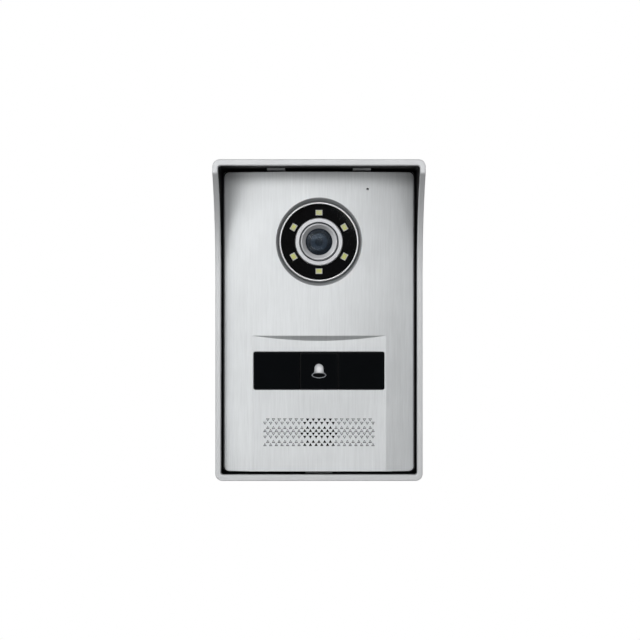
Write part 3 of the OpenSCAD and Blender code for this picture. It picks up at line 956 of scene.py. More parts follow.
@dataclass(frozen=True)
class PaintedLightSign(Finish):
    """White light guide with painted light: white at its middle and grey towards its rim."""

    # Grey of the painted light at the sign's rim.
    rim: Colour = (0.22, 0.235, 0.25)
    reach: float = 0.0037

    def colours(self, graph: Graph, pattern: bpy.types.NodeSocket) -> bpy.types.NodeSocket:
        """Gives the painted light: a fall from white to grey, with a faint grain.

        Args:
            graph: graph of the material.
            pattern: the relief's height; not used.

        Returns:
            The socket of the colour.
        """
        middle = centre_of("bell_light_guide")
        stretch = 1.0 / self.reach
        round_place = graph.place((stretch * 1.25, 0.0, stretch), (middle[0], middle[1] + 0.0009))
        fall = graph.add("TexGradient", {"gradient_type": "SPHERICAL"}, Vector=round_place).outputs[1]
        uneven = graph.maths("ADD", fall, graph.level(graph.noise(900.0, 2.0), -0.06, 0.06))
        return graph.tint(graph.level(uneven, 0.0, 1.0, (0.05, 0.75)), self.rim, self.colour)


@dataclass(frozen=True)
class ClearFinish:
    """Clear plastic or coated glass: a mirror at grazing angles over a tinted, see-through body."""

    tint: Colour
    mirror: Colour = (1.0, 1.0, 1.0)
    ior: float = 1.49
    roughness: float = 0.02

    def build(self, name: str) -> bpy.types.Material:
        """Makes the material.

        Args:
            name: name of the material.

        Returns:
            The new material.
        """
        graph = Graph(name)
        dust = graph.noise(700.0, 4.0)
        normal = graph.relief(dust, 0.000002)
        low = tuple(c * 0.94 for c in self.tint)
        body = graph.add("BsdfTransparent", Color=graph.tint(dust, self.tint, low))
        roughness = graph.level(dust, self.roughness, self.roughness + 0.05, (0.4, 0.8))
        shine = graph.add("BsdfGlossy", Color=self.mirror, Roughness=roughness, Normal=normal)
        share = graph.add("Fresnel", IOR=self.ior, Normal=normal).outputs[0]
        mix = graph.add("MixShader", Fac=share)
        graph.feed(mix.inputs[1], body.outputs[0])
        graph.feed(mix.inputs[2], shine.outputs[0])
        return graph.finish(mix.outputs[0])


ZINC = {
    "metallic": 1.0,
    "roughness": 0.38,
    "drift": 0.16,
    "patch": 260.0,
    "grain": 1600.0,
    "relief": 0.000012,
}

FINISHES: dict[str, Finish | ClearFinish] = {
    "silver_paint": PowderCoat(
        (0.72, 0.73, 0.74),
        0.5,
        0.4,
        drift=0.05,
        patch=40.0,
        unevenness=0.05,
        relief=0.00001,
        worn=(0.78, 0.79, 0.80),
    ),
    "liner_black": Finish((0.011, 0.011, 0.012), 0.75, grain=5000.0, relief=0.00003),
    "gasket_foam": Finish((0.016, 0.016, 0.017), 0.9, drift=0.3, grain=3200.0, relief=0.00012),
    "bracket_steel": Finish((0.36, 0.37, 0.38), worn=(0.62, 0.62, 0.62), **ZINC),
    "screw_steel": Finish((0.58, 0.58, 0.60), worn=(0.75, 0.75, 0.76), **ZINC),
    "panel_aluminium": BrushedMetal(
        (0.78, 0.80, 0.81), 0.50, 0.60, drift=0.15, patch=25.0, unevenness=0.08, relief=0.00001
    ),
    "frame_plastic": Finish((0.018, 0.018, 0.020), 0.55, worn=(0.05, 0.05, 0.055)),
    "case_plastic": Finish(
        (0.020, 0.020, 0.022), 0.6, grain=2200.0, relief=0.00004, worn=(0.05, 0.05, 0.055)
    ),
    "seal_rubber": Finish((0.025, 0.025, 0.026), 0.7, grain=1500.0, relief=0.00003),
    "bezel_metal": TurnedMetal((0.88, 0.88, 0.885), 0.34, 0.9, drift=0.04, unevenness=0.05, relief=0.000003),
    # Darker turned metal on the countersink's cone and on the sleeve round the bezel: painted shade.
    "painted_shade_dish_metal": TurnedMetal((0.40, 0.41, 0.42), 0.5, 0.3, drift=0.08, unevenness=0.06, relief=0.000003),
    # Darker metal on the walls of the blind grille holes: painted shade in the recesses.
    "painted_shade_dimple_metal": Finish((0.27, 0.28, 0.29), 0.5, 0.5, grain=4000.0, relief=0.000004),
    "ring_clear": ClearFinish((0.99, 0.99, 0.99), (0.8, 0.8, 0.8), 1.33),
    "mask_black": Finish((0.001, 0.001, 0.0015), 0.8, relief=0.00001, specular=0.03),
    "board_black": CircuitBoard((0.010, 0.011, 0.012), 0.45),
    "board_green": CircuitBoard((0.012, 0.075, 0.032), 0.38, drift=0.35, coat=0.4, coat_roughness=0.2),
    "led_white": Finish((0.90, 0.90, 0.86), 0.45, grain=4000.0, relief=0.00001),
    "phosphor": Phosphor(
        (0.93, 0.95, 0.30), 0.3, grain=6000.0, relief=0.00002, coat=0.5, coat_roughness=0.15
    ),
    "lens_metal": TurnedMetal((0.57, 0.575, 0.59), 0.42, 0.85, drift=0.06, unevenness=0.06, relief=0.000004),
    "barrel_black": TurnedMetal((0.030, 0.034, 0.041), 0.5, 0.0, drift=0.25, relief=0.00002, specular=0.3),
    "lens_glass": ClearFinish((0.62, 0.67, 0.73), (0.80, 0.90, 1.0), 1.33, 0.22),
    "lens_element": LensElementPaintedStop((0.15, 0.18, 0.205), 0.6, specular=0.08),
    "chip_black": Finish((0.020, 0.020, 0.021), 0.5, grain=5000.0),
    "gloss_black": Finish(
        (0.0016, 0.0024, 0.0032),
        0.07,
        drift=0.3,
        unevenness=0.03,
        grain=900.0,
        relief=0.0000003,
        specular=0.25,
    ),
    "sign_white": PaintedLightSign((0.93, 0.94, 0.95), 0.4, grain=3000.0, relief=0.000004),
    "spring_steel": Finish((0.60, 0.60, 0.62), **ZINC),
    "speaker_steel": Finish((0.42, 0.42, 0.44), **ZINC),
    "magnet_grey": Finish((0.06, 0.06, 0.065), 0.6, drift=0.3, grain=1800.0, relief=0.00006),
    "cone_black": Finish((0.014, 0.014, 0.015), 0.85, grain=1200.0, relief=0.0001),
    "mesh_black": WovenCloth((0.006, 0.006, 0.006), 0.9, relief=0.00012),
    "wire_red": Finish((0.45, 0.02, 0.015), 0.45),
    "capacitor_blue": Finish((0.025, 0.06, 0.18), 0.35, coat=0.3),
    "relay_blue": Finish((0.02, 0.07, 0.25), 0.4, grain=2400.0),
    "terminal_green": Finish((0.02, 0.16, 0.05), 0.45, grain=2400.0),
    "ribbon_amber": Finish((0.42, 0.17, 0.02), 0.35, drift=0.25, coat=0.3),
    "acetal_white": Finish((0.75, 0.75, 0.72), 0.42, grain=1800.0),
}


class Workshop:
    """Hands out finishes and settles pieces on their bodies."""

    def __init__(self, record: dict) -> None:
        """Reads which finish each CAD node takes."""
        self.slots: dict[str, str] = {row["node"]: row["material_slot"] for row in record["subparts"]}
        self.materials: dict[str, bpy.types.Material] = {}

    def material(self, slot: str) -> bpy.types.Material:
        """Gives the material of a slot, made once.

        Args:
            slot: name of the slot or of the finish.

        Returns:
            The material.
        """
        if slot not in self.materials:
            self.materials[slot] = FINISHES[slot].build(slot)
        return self.materials[slot]

    def settle(self, piece: bpy.types.Object, body: Body, *nodes: str) -> None:
        """Dresses a new piece, makes it stand for its CAD nodes and lets it ride on its body.

        Args:
            piece: the new piece.
            body: the CAD body it moves with.
            nodes: the CAD nodes it stands for.
        """
        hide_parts(*nodes)
        self.fit(piece, body, self.slots[nodes[0]])

    def fit(self, piece: bpy.types.Object, body: Body, slot: str) -> None:
        """Dresses a new piece and lets it ride on its body.

        Args:
            piece: the new piece.
            body: the CAD body it moves with.
            slot: the material slot it takes its finish from.
        """
        piece.data.materials.append(self.material(slot))
        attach(piece, body.value)
        LOG.info("%s rides on %s in %s", piece.name, body.value, slot)

    def dress(self, node: str, edge: float = 0.0) -> None:
        """Gives a CAD node its finish, and broken edges where it can be seen.

        Args:
            node: name of the CAD node.
            edge: width of the broken edges.
        """
        piece = frame["nodes"][node]
        piece.data.materials.clear()
        piece.data.materials.append(self.material(self.slots[node]))
        if edge > 0:
            weld = piece.modifiers.new("weld", "WELD")
            weld.merge_threshold = 1e-6
            bevel = piece.modifiers.new("edges", "BEVEL")
            bevel.width = edge
            bevel.segments = 2
            bevel.limit_method = "ANGLE"
            bevel.angle_limit = math.radians(35)
            bevel.harden_normals = True
        LOG.info("%s keeps its CAD shape in %s", node, self.slots[node])


# ---- sub-assemblies ----


@dataclass
class RainHood:
    """Silver hood with a visor over the camera, a low rim below, and swept side edges between the two."""

    workshop: Workshop
    corner: float = 0.0036
    wall: float = 0.002
    back: float = 0.0025
    rim_depth: float = 0.031
    rim_side: float = 0.0028
    rim_end: float = 0.0031
    lip: float = 0.003
    lip_corner: float = 0.0013
    chamber_corner: float = 0.0018
    sweep_foot: float = 0.022
    sweep_top: float = 0.0745
    fillet: float = 0.0025
    edge: float = 0.0005
    screw_spread: Point = (0.060, 0.120)
    bracket_spread: Point = (0.068, 0.080)
    cable_opening: Place = (0.050, 0.034, -0.020)

    def __post_init__(self) -> None:
        """Works out the hood's outer sizes and the arc of its sweep."""
        low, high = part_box("rain_hood")
        self.width = high.x - low.x
        self.height = high.z - low.z
        self.depth = -low.y
        rise = self.depth - self.rim_depth
        run = self.sweep_top - self.sweep_foot
        self.sweep_radius = (run**2 + rise**2) / (2 * rise)
        self.sweep_depth = self.rim_depth + self.sweep_radius
        reach = self.sweep_radius + self.fillet
        self.fillet_depth = self.depth - self.fillet
        self.fillet_z = self.sweep_foot + math.sqrt(reach**2 - (self.sweep_depth - self.fillet_depth) ** 2)
        self.touch_z = self.sweep_foot + (self.fillet_z - self.sweep_foot) * self.sweep_radius / reach

    def front(self, x: float, z: float) -> float:
        """Gives the depth of the front edge at a height.

        Args:
            x: distance from the middle along X; not used.
            z: height.

        Returns:
            The depth.
        """
        if z <= self.sweep_foot:
            return self.rim_depth
        if z < self.touch_z:
            return self.sweep_depth - math.sqrt(self.sweep_radius**2 - (z - self.sweep_foot) ** 2)
        if z < self.fillet_z:
            return self.fillet_depth + math.sqrt(self.fillet**2 - (z - self.fillet_z) ** 2)
        return self.depth

    def loop(self, width: float, height: float, corner: float) -> list[Point]:
        """Draws one loop of the hood, with close points along the sweep.

        Args:
            width: width of the loop.
            height: height of the loop.
            corner: radius of its corners.

        Returns:
            The loop's points.
        """
        low = [-0.074 + 0.016 * i for i in range(6)]
        sweep = [self.sweep_foot + (self.touch_z - self.sweep_foot) * (i / 36) for i in range(37)]
        tip = [self.touch_z + (self.fillet_z - self.touch_z) * (1 - (1 - i / 8) ** 2) for i in range(1, 9)]
        heights = low + sweep + tip
        side = width / 2
        in_x = side - corner
        in_z = height / 2 - corner
        tops = [in_x * (1 - 2 * i / 12) for i in range(1, 12)]
        points = [(side, z) for z in heights]
        points += arc((in_x, in_z), corner, 0, 90, 8)
        points += [(x, height / 2) for x in tops]
        points += arc((-in_x, in_z), corner, 90, 180, 8)
        points += [(-side, z) for z in reversed(heights)]
        points += arc((-in_x, -in_z), corner, 180, 270, 8)
        points += [(-x, -height / 2) for x in tops]
        return points + arc((in_x, -in_z), corner, 270, 360, 8)

    def outer(self, grow: float) -> list[Point]:
        """Gives the outer outline grown by a distance."""
        return self.loop(self.width + 2 * grow, self.height + 2 * grow, self.corner + grow)

    def inner(self, grow: float) -> list[Point]:
        """Gives the rim's inner outline grown by a distance."""
        width = self.width - 2 * self.rim_side + 2 * grow
        return self.loop(width, self.height - 2 * self.rim_end + 2 * grow, self.lip_corner + grow)

    def shell(self) -> bpy.types.Object:
        """Makes the hood without its openings.

        Returns:
            The new object.
        """
        draft = Draft()
        chamber = self.loop(self.width - 2 * self.wall, self.height - 2 * self.wall, self.chamber_corner)
        steps = [math.radians(90 * i / 4) for i in range(5)]
        rings = [
            draft.ring(self.outer(-self.edge * (1 - math.sin(a))), self.edge * (1 - math.cos(a)))
            for a in steps
        ]
        for a in steps:
            drop = self.edge * (1 - math.sin(a))
            loop = self.outer(-self.edge * (1 - math.cos(a)))
            rings.append(draft.ring(loop, lambda x, z: self.front(x, z) - drop))
        for a in steps:
            drop = self.edge * (1 - math.cos(a))
            loop = self.inner(self.edge * (1 - math.sin(a)))
            rings.append(draft.ring(loop, lambda x, z: self.front(x, z) - drop))
        rings.append(draft.ring(self.inner(0), lambda x, z: self.front(x, z) - self.lip))
        rings.append(draft.ring(chamber, lambda x, z: self.front(x, z) - self.lip))
        rings.append(draft.ring(chamber, self.back))
        draft.stack(rings)
        draft.face(rings[0])
        draft.face(rings[-1])
        return draft.piece("rain_hood_shell")

    def cutter(self) -> bpy.types.Object:
        """Makes the shape that cuts the screw holes, the cable opening, the groove and the drains.

        Returns:
            The new object.
        """
        draft = Draft()
        through = (-0.001, self.back + 0.001)
        holes = [(disc(0.00225, (x, z), 48), through) for x, z in self.corners(self.screw_spread)]
        holes += [(disc(0.00125, (x, z), 32), through) for x, z in self.corners(self.bracket_spread)]
        width, height, middle = self.cable_opening
        holes.append((round_box(width, height, 0.004, (0.0, middle)), through))
        holes.append((disc(0.0032, centre_of("tamper_plunger"), 48), through))
        for outline, (low, high) in holes:
            rings = [draft.ring(outline(0), low), draft.ring(outline(0), high)]
            draft.stack(rings)
            draft.face(rings[0])
            draft.face(rings[1])
        groove = round_box(0.100, 0.156, 0.003)
        island = round_box(0.090, 0.146, 0.003)
        rings = [draft.ring(groove(0), -0.001), draft.ring(groove(0), 0.001)]
        rings += [draft.ring(island(0), 0.001), draft.ring(island(0), -0.001)]
        draft.stack(rings + rings[:1])
        below = self.height / 2
        for x in (-0.026, 0.026):
            self.drain(draft, round_box(0.010, 0.003, 0.0014, (x, 0.010)), below)
        screw = -sum(corner.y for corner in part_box("security_screw")) / 2
        self.drain(draft, disc(0.0033, (0.0, screw), 48), below)
        return draft.piece("rain_hood_cutter")

    def drain(self, draft: Draft, outline: Outline, below: float) -> None:
        """Adds an upright cutter under the hood; its outline is drawn as (x, depth).

        Args:
            draft: mesh of the cutter.
            outline: outline of the drain.
            below: distance of the hood's underside below the middle.
        """
        rings = []
        for z in (-below - 0.001, -below + self.wall + 0.001):
            first = len(draft.points)
            draft.points += [(x, -depth, z) for x, depth in outline(0)]
            rings.append(list(range(first, len(draft.points))))
        draft.stack(rings)
        draft.face(rings[0])
        draft.face(rings[1])

    @staticmethod
    def corners(spread: Point) -> list[Point]:
        """Gives the four corners of a rectangle of holes."""
        return [(x * spread[0] / 2, z * spread[1] / 2) for x in (-1, 1) for z in (-1, 1)]

    def build(self) -> None:
        """Makes the hood and dresses its liner and gasket."""
        shell = self.shell()
        cutter = self.cutter()
        cut = shell.modifiers.new("cut", "BOOLEAN")
        cut.operation = "DIFFERENCE"
        cut.solver = "EXACT"
        cut.object = cutter
        graph = bpy.context.evaluated_depsgraph_get()
        mesh = bpy.data.meshes.new_from_object(shell.evaluated_get(graph))
        bpy.data.objects.remove(shell)
        bpy.data.objects.remove(cutter)
        mesh.shade_smooth()
        mesh.set_sharp_from_angle(angle=math.radians(30))
        hood = bpy.data.objects.new("hood_shell", mesh)
        bpy.context.scene.collection.objects.link(hood)
        even_normals(hood)
        self.workshop.settle(hood, Body.STATION, "rain_hood")
        self.workshop.dress("hood_liner")
        self.workshop.dress("wall_gasket")


@dataclass
class WallFixing:
    """Steel bracket behind the station, with its hook arms, and the screws that hold it."""

    workshop: Workshop

    def build(self) -> None:
        """Dresses the bracket and its screws."""
        self.workshop.dress("mounting_bracket", 0.00025)
        self.workshop.dress("bracket_screws")
        self.workshop.dress("security_screw")


@dataclass
class FrontPanel:
    """Brushed aluminium panel: crowned about an upright axis, with a flat facet in its lower half."""

    workshop: Workshop
    corner: float = 0.0026
    crown: float = 0.230
    thickness: float = 0.002
    facet: float = 0.0279
    facet_z: float = -0.0071
    step: float = 1.0464
    pad: float = 0.0254
    edge: float = 0.00035
    dish_wall: float = 0.02075
    dish_foot: float = 0.027
    dish_flare: float = 0.5
    boss: float = 0.025
    boss_back: float = 0.0265
    strip: Place = (0.0675, 0.0196, 0.001)
    mic_hole: float = 0.0006
    pitch: float = 0.00293
    triangle: Point = (0.00175, 0.00155)
    dimple: float = 0.0007
    dimple_slope: float = 0.00026
    hole_corner: float = 0.00003
    hole_edge: float = 0.00002
    # Depth below a hole's rounded edge from which its wall is black: painted shade.
    painted_shade_lining: float = 0.00003
    first_row: float = 0.00631
    rows: tuple[tuple[float, Pointing, int, int], ...] = (
        (0.0, Pointing.DOWN, 19, 5),
        (-0.00175, Pointing.DOWN, 20, 6),
        (-0.00381, Pointing.UP, 19, 5),
        (-0.00541, Pointing.UP, 20, 6),
        (-0.00726, Pointing.DOWN, 19, 7),
        (-0.00891, Pointing.DOWN, 20, 6),
        (-0.01102, Pointing.UP, 19, 5),
        (-0.01262, Pointing.UP, 20, 6),
    )

    def __post_init__(self) -> None:
        """Reads the panel's outer sizes and works out where the facet meets the crown."""
        low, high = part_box("front_panel")
        self.width = high.x - low.x
        self.height = high.z - low.z
        self.axis = self.crown + low.y
        self.facet_side = math.sqrt(self.crown**2 - (self.axis + self.facet) ** 2)
        self.dish_centre = centre_of("camera_bezel")

    def crown_at(self, x: float) -> float:
        """Gives the crown's depth."""
        return math.sqrt(self.crown**2 - x**2) - self.axis

    def front(self, x: float, z: float) -> float:
        """Gives the depth of the panel's front.

        Args:
            x: distance from the middle along X.
            z: height.

        Returns:
            The depth.
        """
        crown = self.crown_at(x)
        if z >= self.facet_z:
            return crown
        return min(crown, max(self.facet, crown - (self.facet_z - z) / self.step))

    def behind(self, x: float, z: float) -> float:
        """Gives the depth of the panel's back, with its boss behind the countersink.

        Args:
            x: distance from the middle along X.
            z: height.

        Returns:
            The depth.
        """
        if math.dist((x, z), self.dish_centre) < self.boss:
            return self.boss_back
        if abs(x) <= 0.035 and z < self.facet_z + self.thickness:
            return self.pad
        return self.crown_at(x) - self.thickness

    def shade(self, x: float, z: float) -> NormalAt:
        """Gives the normals of the region that a point lies in: crown, step or facet.

        Args:
            x: distance from the middle along X.
            z: height.

        Returns:
            The normal as a function of a point.
        """
        crown = self.crown_at(x)
        slope = crown - (self.facet_z - z) / self.step
        if z >= self.facet_z or crown <= self.facet:
            return lambda u, v: Vector((u / self.crown, -math.sqrt(1 - (u / self.crown) ** 2), 0))
        if slope > self.facet:
            return lambda u, v: Vector((0.69 * u / self.crown, -0.6909, -0.7230)).normalized()
        return lambda u, v: Vector((0.0, -1.0, 0.0))

    def camera_opening(self) -> Opening:
        """Gives the camera's hole with its countersink.

        Returns:
            The opening.
        """
        cx, cz = self.dish_centre

        def rim(spread: float) -> list[Point]:
            """Gives the line where the countersink meets the crown, spread outwards.

            Args:
                spread: distance it is spread by.

            Returns:
                The line's points.
            """
            points = []
            for a in [math.radians(i * 3) for i in range(120)]:
                radius = self.dish_wall
                for _ in range(6):
                    depth = self.crown_at(cx + radius * math.cos(a))
                    radius = self.dish_wall + self.dish_flare * (depth - self.dish_foot)
                radius += spread
                points.append((cx + radius * math.cos(a), cz + radius * math.sin(a)))
            return points

        def cone(x: float, z: float) -> float:
            """Gives the countersink's depth."""
            return self.dish_foot + (math.hypot(x - cx, z - cz) - self.dish_wall) / self.dish_flare

        hole = disc(self.dish_wall, (cx, cz), 120)
        return Opening(
            [
                (rim(0.00022), self.front),
                (rim(0.0001), lambda x, z: self.front(x, z) - 0.00002),
                (rim(0.0), lambda x, z: self.front(x, z) - 0.00008),
                (rim(-0.00008), cone),
                (hole(0.0003), cone),
                (hole(0.00008), self.dish_foot),
                (hole(0), self.dish_foot - 0.0003),
                (hole(0), self.behind),
            ],
            # The countersink's cone takes finish 2, the darker metal: painted shade.
            ink=2,
        )

    def drilled(self, outline: Outline, edge: float, floor: float | None = None) -> Opening:
        """Gives an opening with a rounded front edge, and walls darkened as painted shade: black below the
        edge of a through hole, darker metal in a blind one.

        Args:
            outline: outline of the opening.
            edge: rounding of its front edge.
            floor: depth of its floor, or None if it goes right through.

        Returns:
            The opening.
        """
        rings = edge_rings(outline, self.front, -edge, 3)
        if floor is None:
            # Below the edge the wall takes finish 1, black: painted shade in the through hole.
            painted_shade_lining = (outline(0), lambda x, z: self.front(x, z) - edge - self.painted_shade_lining)
            return Opening([*rings, painted_shade_lining, (outline(0), self.behind)], ink=1, start=len(rings))
        # A blind hole's walls take finish 3, the darker metal: painted shade.
        return Opening([*rings, (outline(-self.dimple_slope), floor)], True, ink=3)

    def grille(self) -> list[Opening]:
        """Gives the loudspeaker's triangular holes: through in the middle, blind at the sides.

        Returns:
            One opening for each hole.
        """
        middle = centre_of("speaker_mesh")[1] + self.first_row
        openings = []
        for drop, way, count, through in self.rows:
            for i in range(count):
                off = i - (count - 1) / 2
                centre = (off * self.pitch, middle + drop)
                outline = round_triangle(*self.triangle, way, centre, self.hole_corner)
                floor = None if abs(off) < through / 2 else self.facet - self.dimple
                openings.append(self.drilled(outline, self.hole_edge, floor))
        return openings

    def creases(self) -> list[list[Point]]:
        """Gives the lines round the facet and its step.

        Returns:
            The lines, each as its points.
        """
        side = self.facet_side
        xs = [side * (2 * i / 40 - 1) for i in range(41)]
        top = [(x, self.facet_z) for x in xs]
        foot = [(x, self.facet_z - self.step * (self.crown_at(x) - self.facet)) for x in xs[1:-1]]
        foot = [top[0], *foot, top[-1]]
        low = -self.height / 2 + self.edge + 0.00005
        sides = [[(x, self.facet_z - 0.0025 * i) for i in range(28)] + [(x, low)] for x in (-side, side)]
        return [top, foot, *sides]

    def build(self) -> None:
        """Makes the panel and dresses the gasket behind it."""
        outline = round_box(self.width, self.height, self.corner, spacing=0.0025)
        border = edge_rings(outline, self.front, self.edge)
        border.append((outline(0), self.behind))
        width, height, corner = self.strip
        strip = round_box(width, height, corner, (0.0, centre_of("left_window")[1]), 0.003)
        openings = [self.camera_opening(), self.drilled(strip, 0.0003)]
        openings.append(self.drilled(disc(self.mic_hole, centre_of("microphone"), 32), self.hole_edge))
        openings += self.grille()
        across = [-0.0475 + 0.0025 * i for i in range(39)]
        upwards = [-0.0748 + 0.0055 * i for i in range(28)]
        plate = Plate(border, self.front, self.behind, openings, self.creases(), [], self.shade)
        plate.filling = [(x, z) for x in across for z in upwards]
        sheet = plate.build("panel_sheet")
        self.workshop.settle(sheet, Body.STATION, "front_panel")
        # Finishes 1 to 3 darken the hole walls and the countersink: painted shade.
        for finish in ("mesh_black", "painted_shade_dish_metal", "painted_shade_dimple_metal"):
            sheet.data.materials.append(self.workshop.material(finish))
        self.workshop.dress("panel_gasket")


@dataclass
class CameraEye:
    """Camera behind the panel: bright bezel, clear ring window, silver shroud, retainer ring and lens."""

    workshop: Workshop
    bezel: float = 0.0205
    window: float = 0.0196
    lip: float = 0.02025
    shroud: float = 0.0123
    groove: float = 0.0101
    retainer: float = 0.0093
    lens: float = 0.0069
    glass: float = 0.0067
    glass_radius: float = 0.02096
    inner_lens: float = 0.00455
    steps_in_barrel: tuple[Point, ...] = (
        (0.0060, 0.0276),
        (0.0059, 0.0270),
        (0.0054, 0.0268),
        (0.0053, 0.0262),
        (0.00478, 0.0260),
        (0.0046, 0.0252),
        (0.0036, 0.0248),
        (0.0034, 0.0242),
        (0.0022, 0.0240),
        (0.0022, 0.0234),
    )

    def __post_init__(self) -> None:
        """Reads where the camera's axis is."""
        self.centre = centre_of("lens_shroud")

    def make(self, node: str, name: str, profile: list[Point], edge: float, sharp: float = 40.0) -> None:
        """Turns one part of the camera, with its corners rounded, and settles it."""
        rounded = soften(profile, edge) if edge > 0 else profile
        self.workshop.settle(turned(name, rounded, self.centre, sharp=sharp), Body.STATION, node)

    def build_bezel(self) -> None:
        """Makes the bright ring in the panel's countersink, with its flange behind the panel, and a dark
        sleeve round it that is painted shade.
        """
        front = front_of("camera_bezel")
        rim = self.window
        profile = [
            (self.shroud + 0.00005, 0.0240), (self.bezel - 0.0002, 0.0240), (self.bezel - 0.0002, 0.0247),
            (0.0240, 0.0247), (0.0240, 0.0260), (self.bezel, 0.0260), (self.bezel, 0.0266),
            (self.lip, 0.0266), (self.lip, front - 0.00012), (self.lip - 0.00012, front),
            (rim + 0.00012, front), (rim, front - 0.00012), (rim, 0.0282),
            (rim - 0.0005, 0.0282), (rim - 0.0005, 0.0252), (self.shroud + 0.00005, 0.0252),
        ]
        self.make("camera_bezel", "camera_bezel_ring", profile, 0.00012)
        # A dark sleeve on the bezel's outer flank, in the darker metal: painted shade between the bezel and
        # the countersink.
        outer = self.bezel + 0.0002
        profile = [(self.lip + 0.00003, 0.0267), (outer, 0.0267), (outer, front - 0.0011)]
        profile.append((self.lip + 0.00003, front - 0.0005))
        shade_sleeve = turned("camera_bezel_shade_sleeve", profile, self.centre)
        self.workshop.fit(shade_sleeve, Body.STATION, "bezel_metal")
        shade_sleeve.data.materials[0] = self.workshop.material("painted_shade_dish_metal")

    def build_window(self) -> None:
        """Makes the clear ring over the lights."""
        back, front = back_of("ring_window"), front_of("ring_window")
        inner, outer = self.shroud + 0.00005, self.window - 0.00005
        lift = back + 0.00004
        border = [(outer - 0.0009, back), (outer, back), (outer, lift), (outer - 0.0009, lift)]
        self.workshop.fit(turned("window_border", border, self.centre), Body.STATION, "mask_black")
        back += 0.00006
        profile = [(inner, back), (outer, back), (outer, front - 0.0002), (outer - 0.0002, front)]
        profile += [(inner + 0.0002, front), (inner, front - 0.0002)]
        self.make("ring_window", "clear_ring_window", profile, 0.00005)

    def build_shroud(self) -> None:
        """Makes the silver shroud and the retainer ring in it."""
        front = front_of("lens_shroud")
        profile = [
            (self.retainer, 0.0220), (self.shroud, 0.0220), (self.shroud, front - 0.00035),
            (self.shroud - 0.00035, front), (self.groove + 0.0001, front), (self.groove, front - 0.0001),
            (self.groove, 0.0293), (self.retainer, 0.0293),
        ]
        self.make("lens_shroud", "lens_shroud_ring", profile, 0.00015)
        inner, outer = self.retainer + 0.00018, self.groove - 0.00005
        filler = [(inner, 0.0293), (outer, 0.0293), (outer, 0.02945), (inner, 0.02945)]
        self.workshop.fit(turned("shroud_groove_filler", filler, self.centre), Body.STATION, "barrel_black")
        top = front_of("lens_retainer")
        profile = [
            (self.lens, 0.0260), (self.retainer, 0.0260), (self.retainer, top - 0.00015),
            (self.retainer - 0.00015, top), (self.retainer - 0.0005, top), (self.lens, top - 0.0009),
        ]
        self.make("lens_retainer", "lens_retainer_ring", profile, 0.00012)

    def build_lens(self) -> None:
        """Makes the barrel with its steps, and the front glass."""
        back = back_of("lens_barrel")
        profile = [(0.0042, back), (0.0060, back), (0.0060, 0.0252), (self.lens, 0.0252), (self.lens, 0.0286)]
        profile += [(self.glass, 0.0286), (self.glass, 0.0276), *self.steps_in_barrel]
        profile += [(0.0046, 0.0232), (0.0046, 0.0214), (0.0042, 0.0214)]
        self.make("lens_barrel", "lens_barrel_tube", profile, 0.00006)
        front = front_of("lens_front_glass")
        rim = self.glass - 0.00004
        dome = []
        for i in range(19):
            radius = rim * (1 - i / 18)
            sink = self.glass_radius - math.sqrt(self.glass_radius**2 - radius**2)
            dome.append((radius, front - sink))
        self.make("lens_front_glass", "front_lens", [(0.0, 0.0277), (rim, 0.0277), *dome], 0.0)
        inner = [(0.0, 0.0252), (self.inner_lens, 0.0252), (self.inner_lens, 0.0254)]
        rise = [math.radians(90 * i / 10) for i in range(1, 11)]
        inner += [(self.inner_lens * math.cos(a), 0.0254 + 0.0007 * math.sin(a)) for a in rise]
        element = turned("inner_lens_element", inner, self.centre)
        self.workshop.fit(element, Body.STATION, "lens_glass")
        element.data.materials[0] = self.workshop.material("lens_element")

    def build(self) -> None:
        """Makes every part of the camera that shows and dresses the ones behind it."""
        self.build_bezel()
        self.build_window()
        self.build_shroud()
        self.build_lens()
        for node in ("camera_seal", "led_mask", "led_board", "lens_rear_glass", "lens_mount", "camera_board"):
            self.workshop.dress(node)
        for node in ("image_sensor", "camera_ribbon"):
            self.workshop.dress(node)


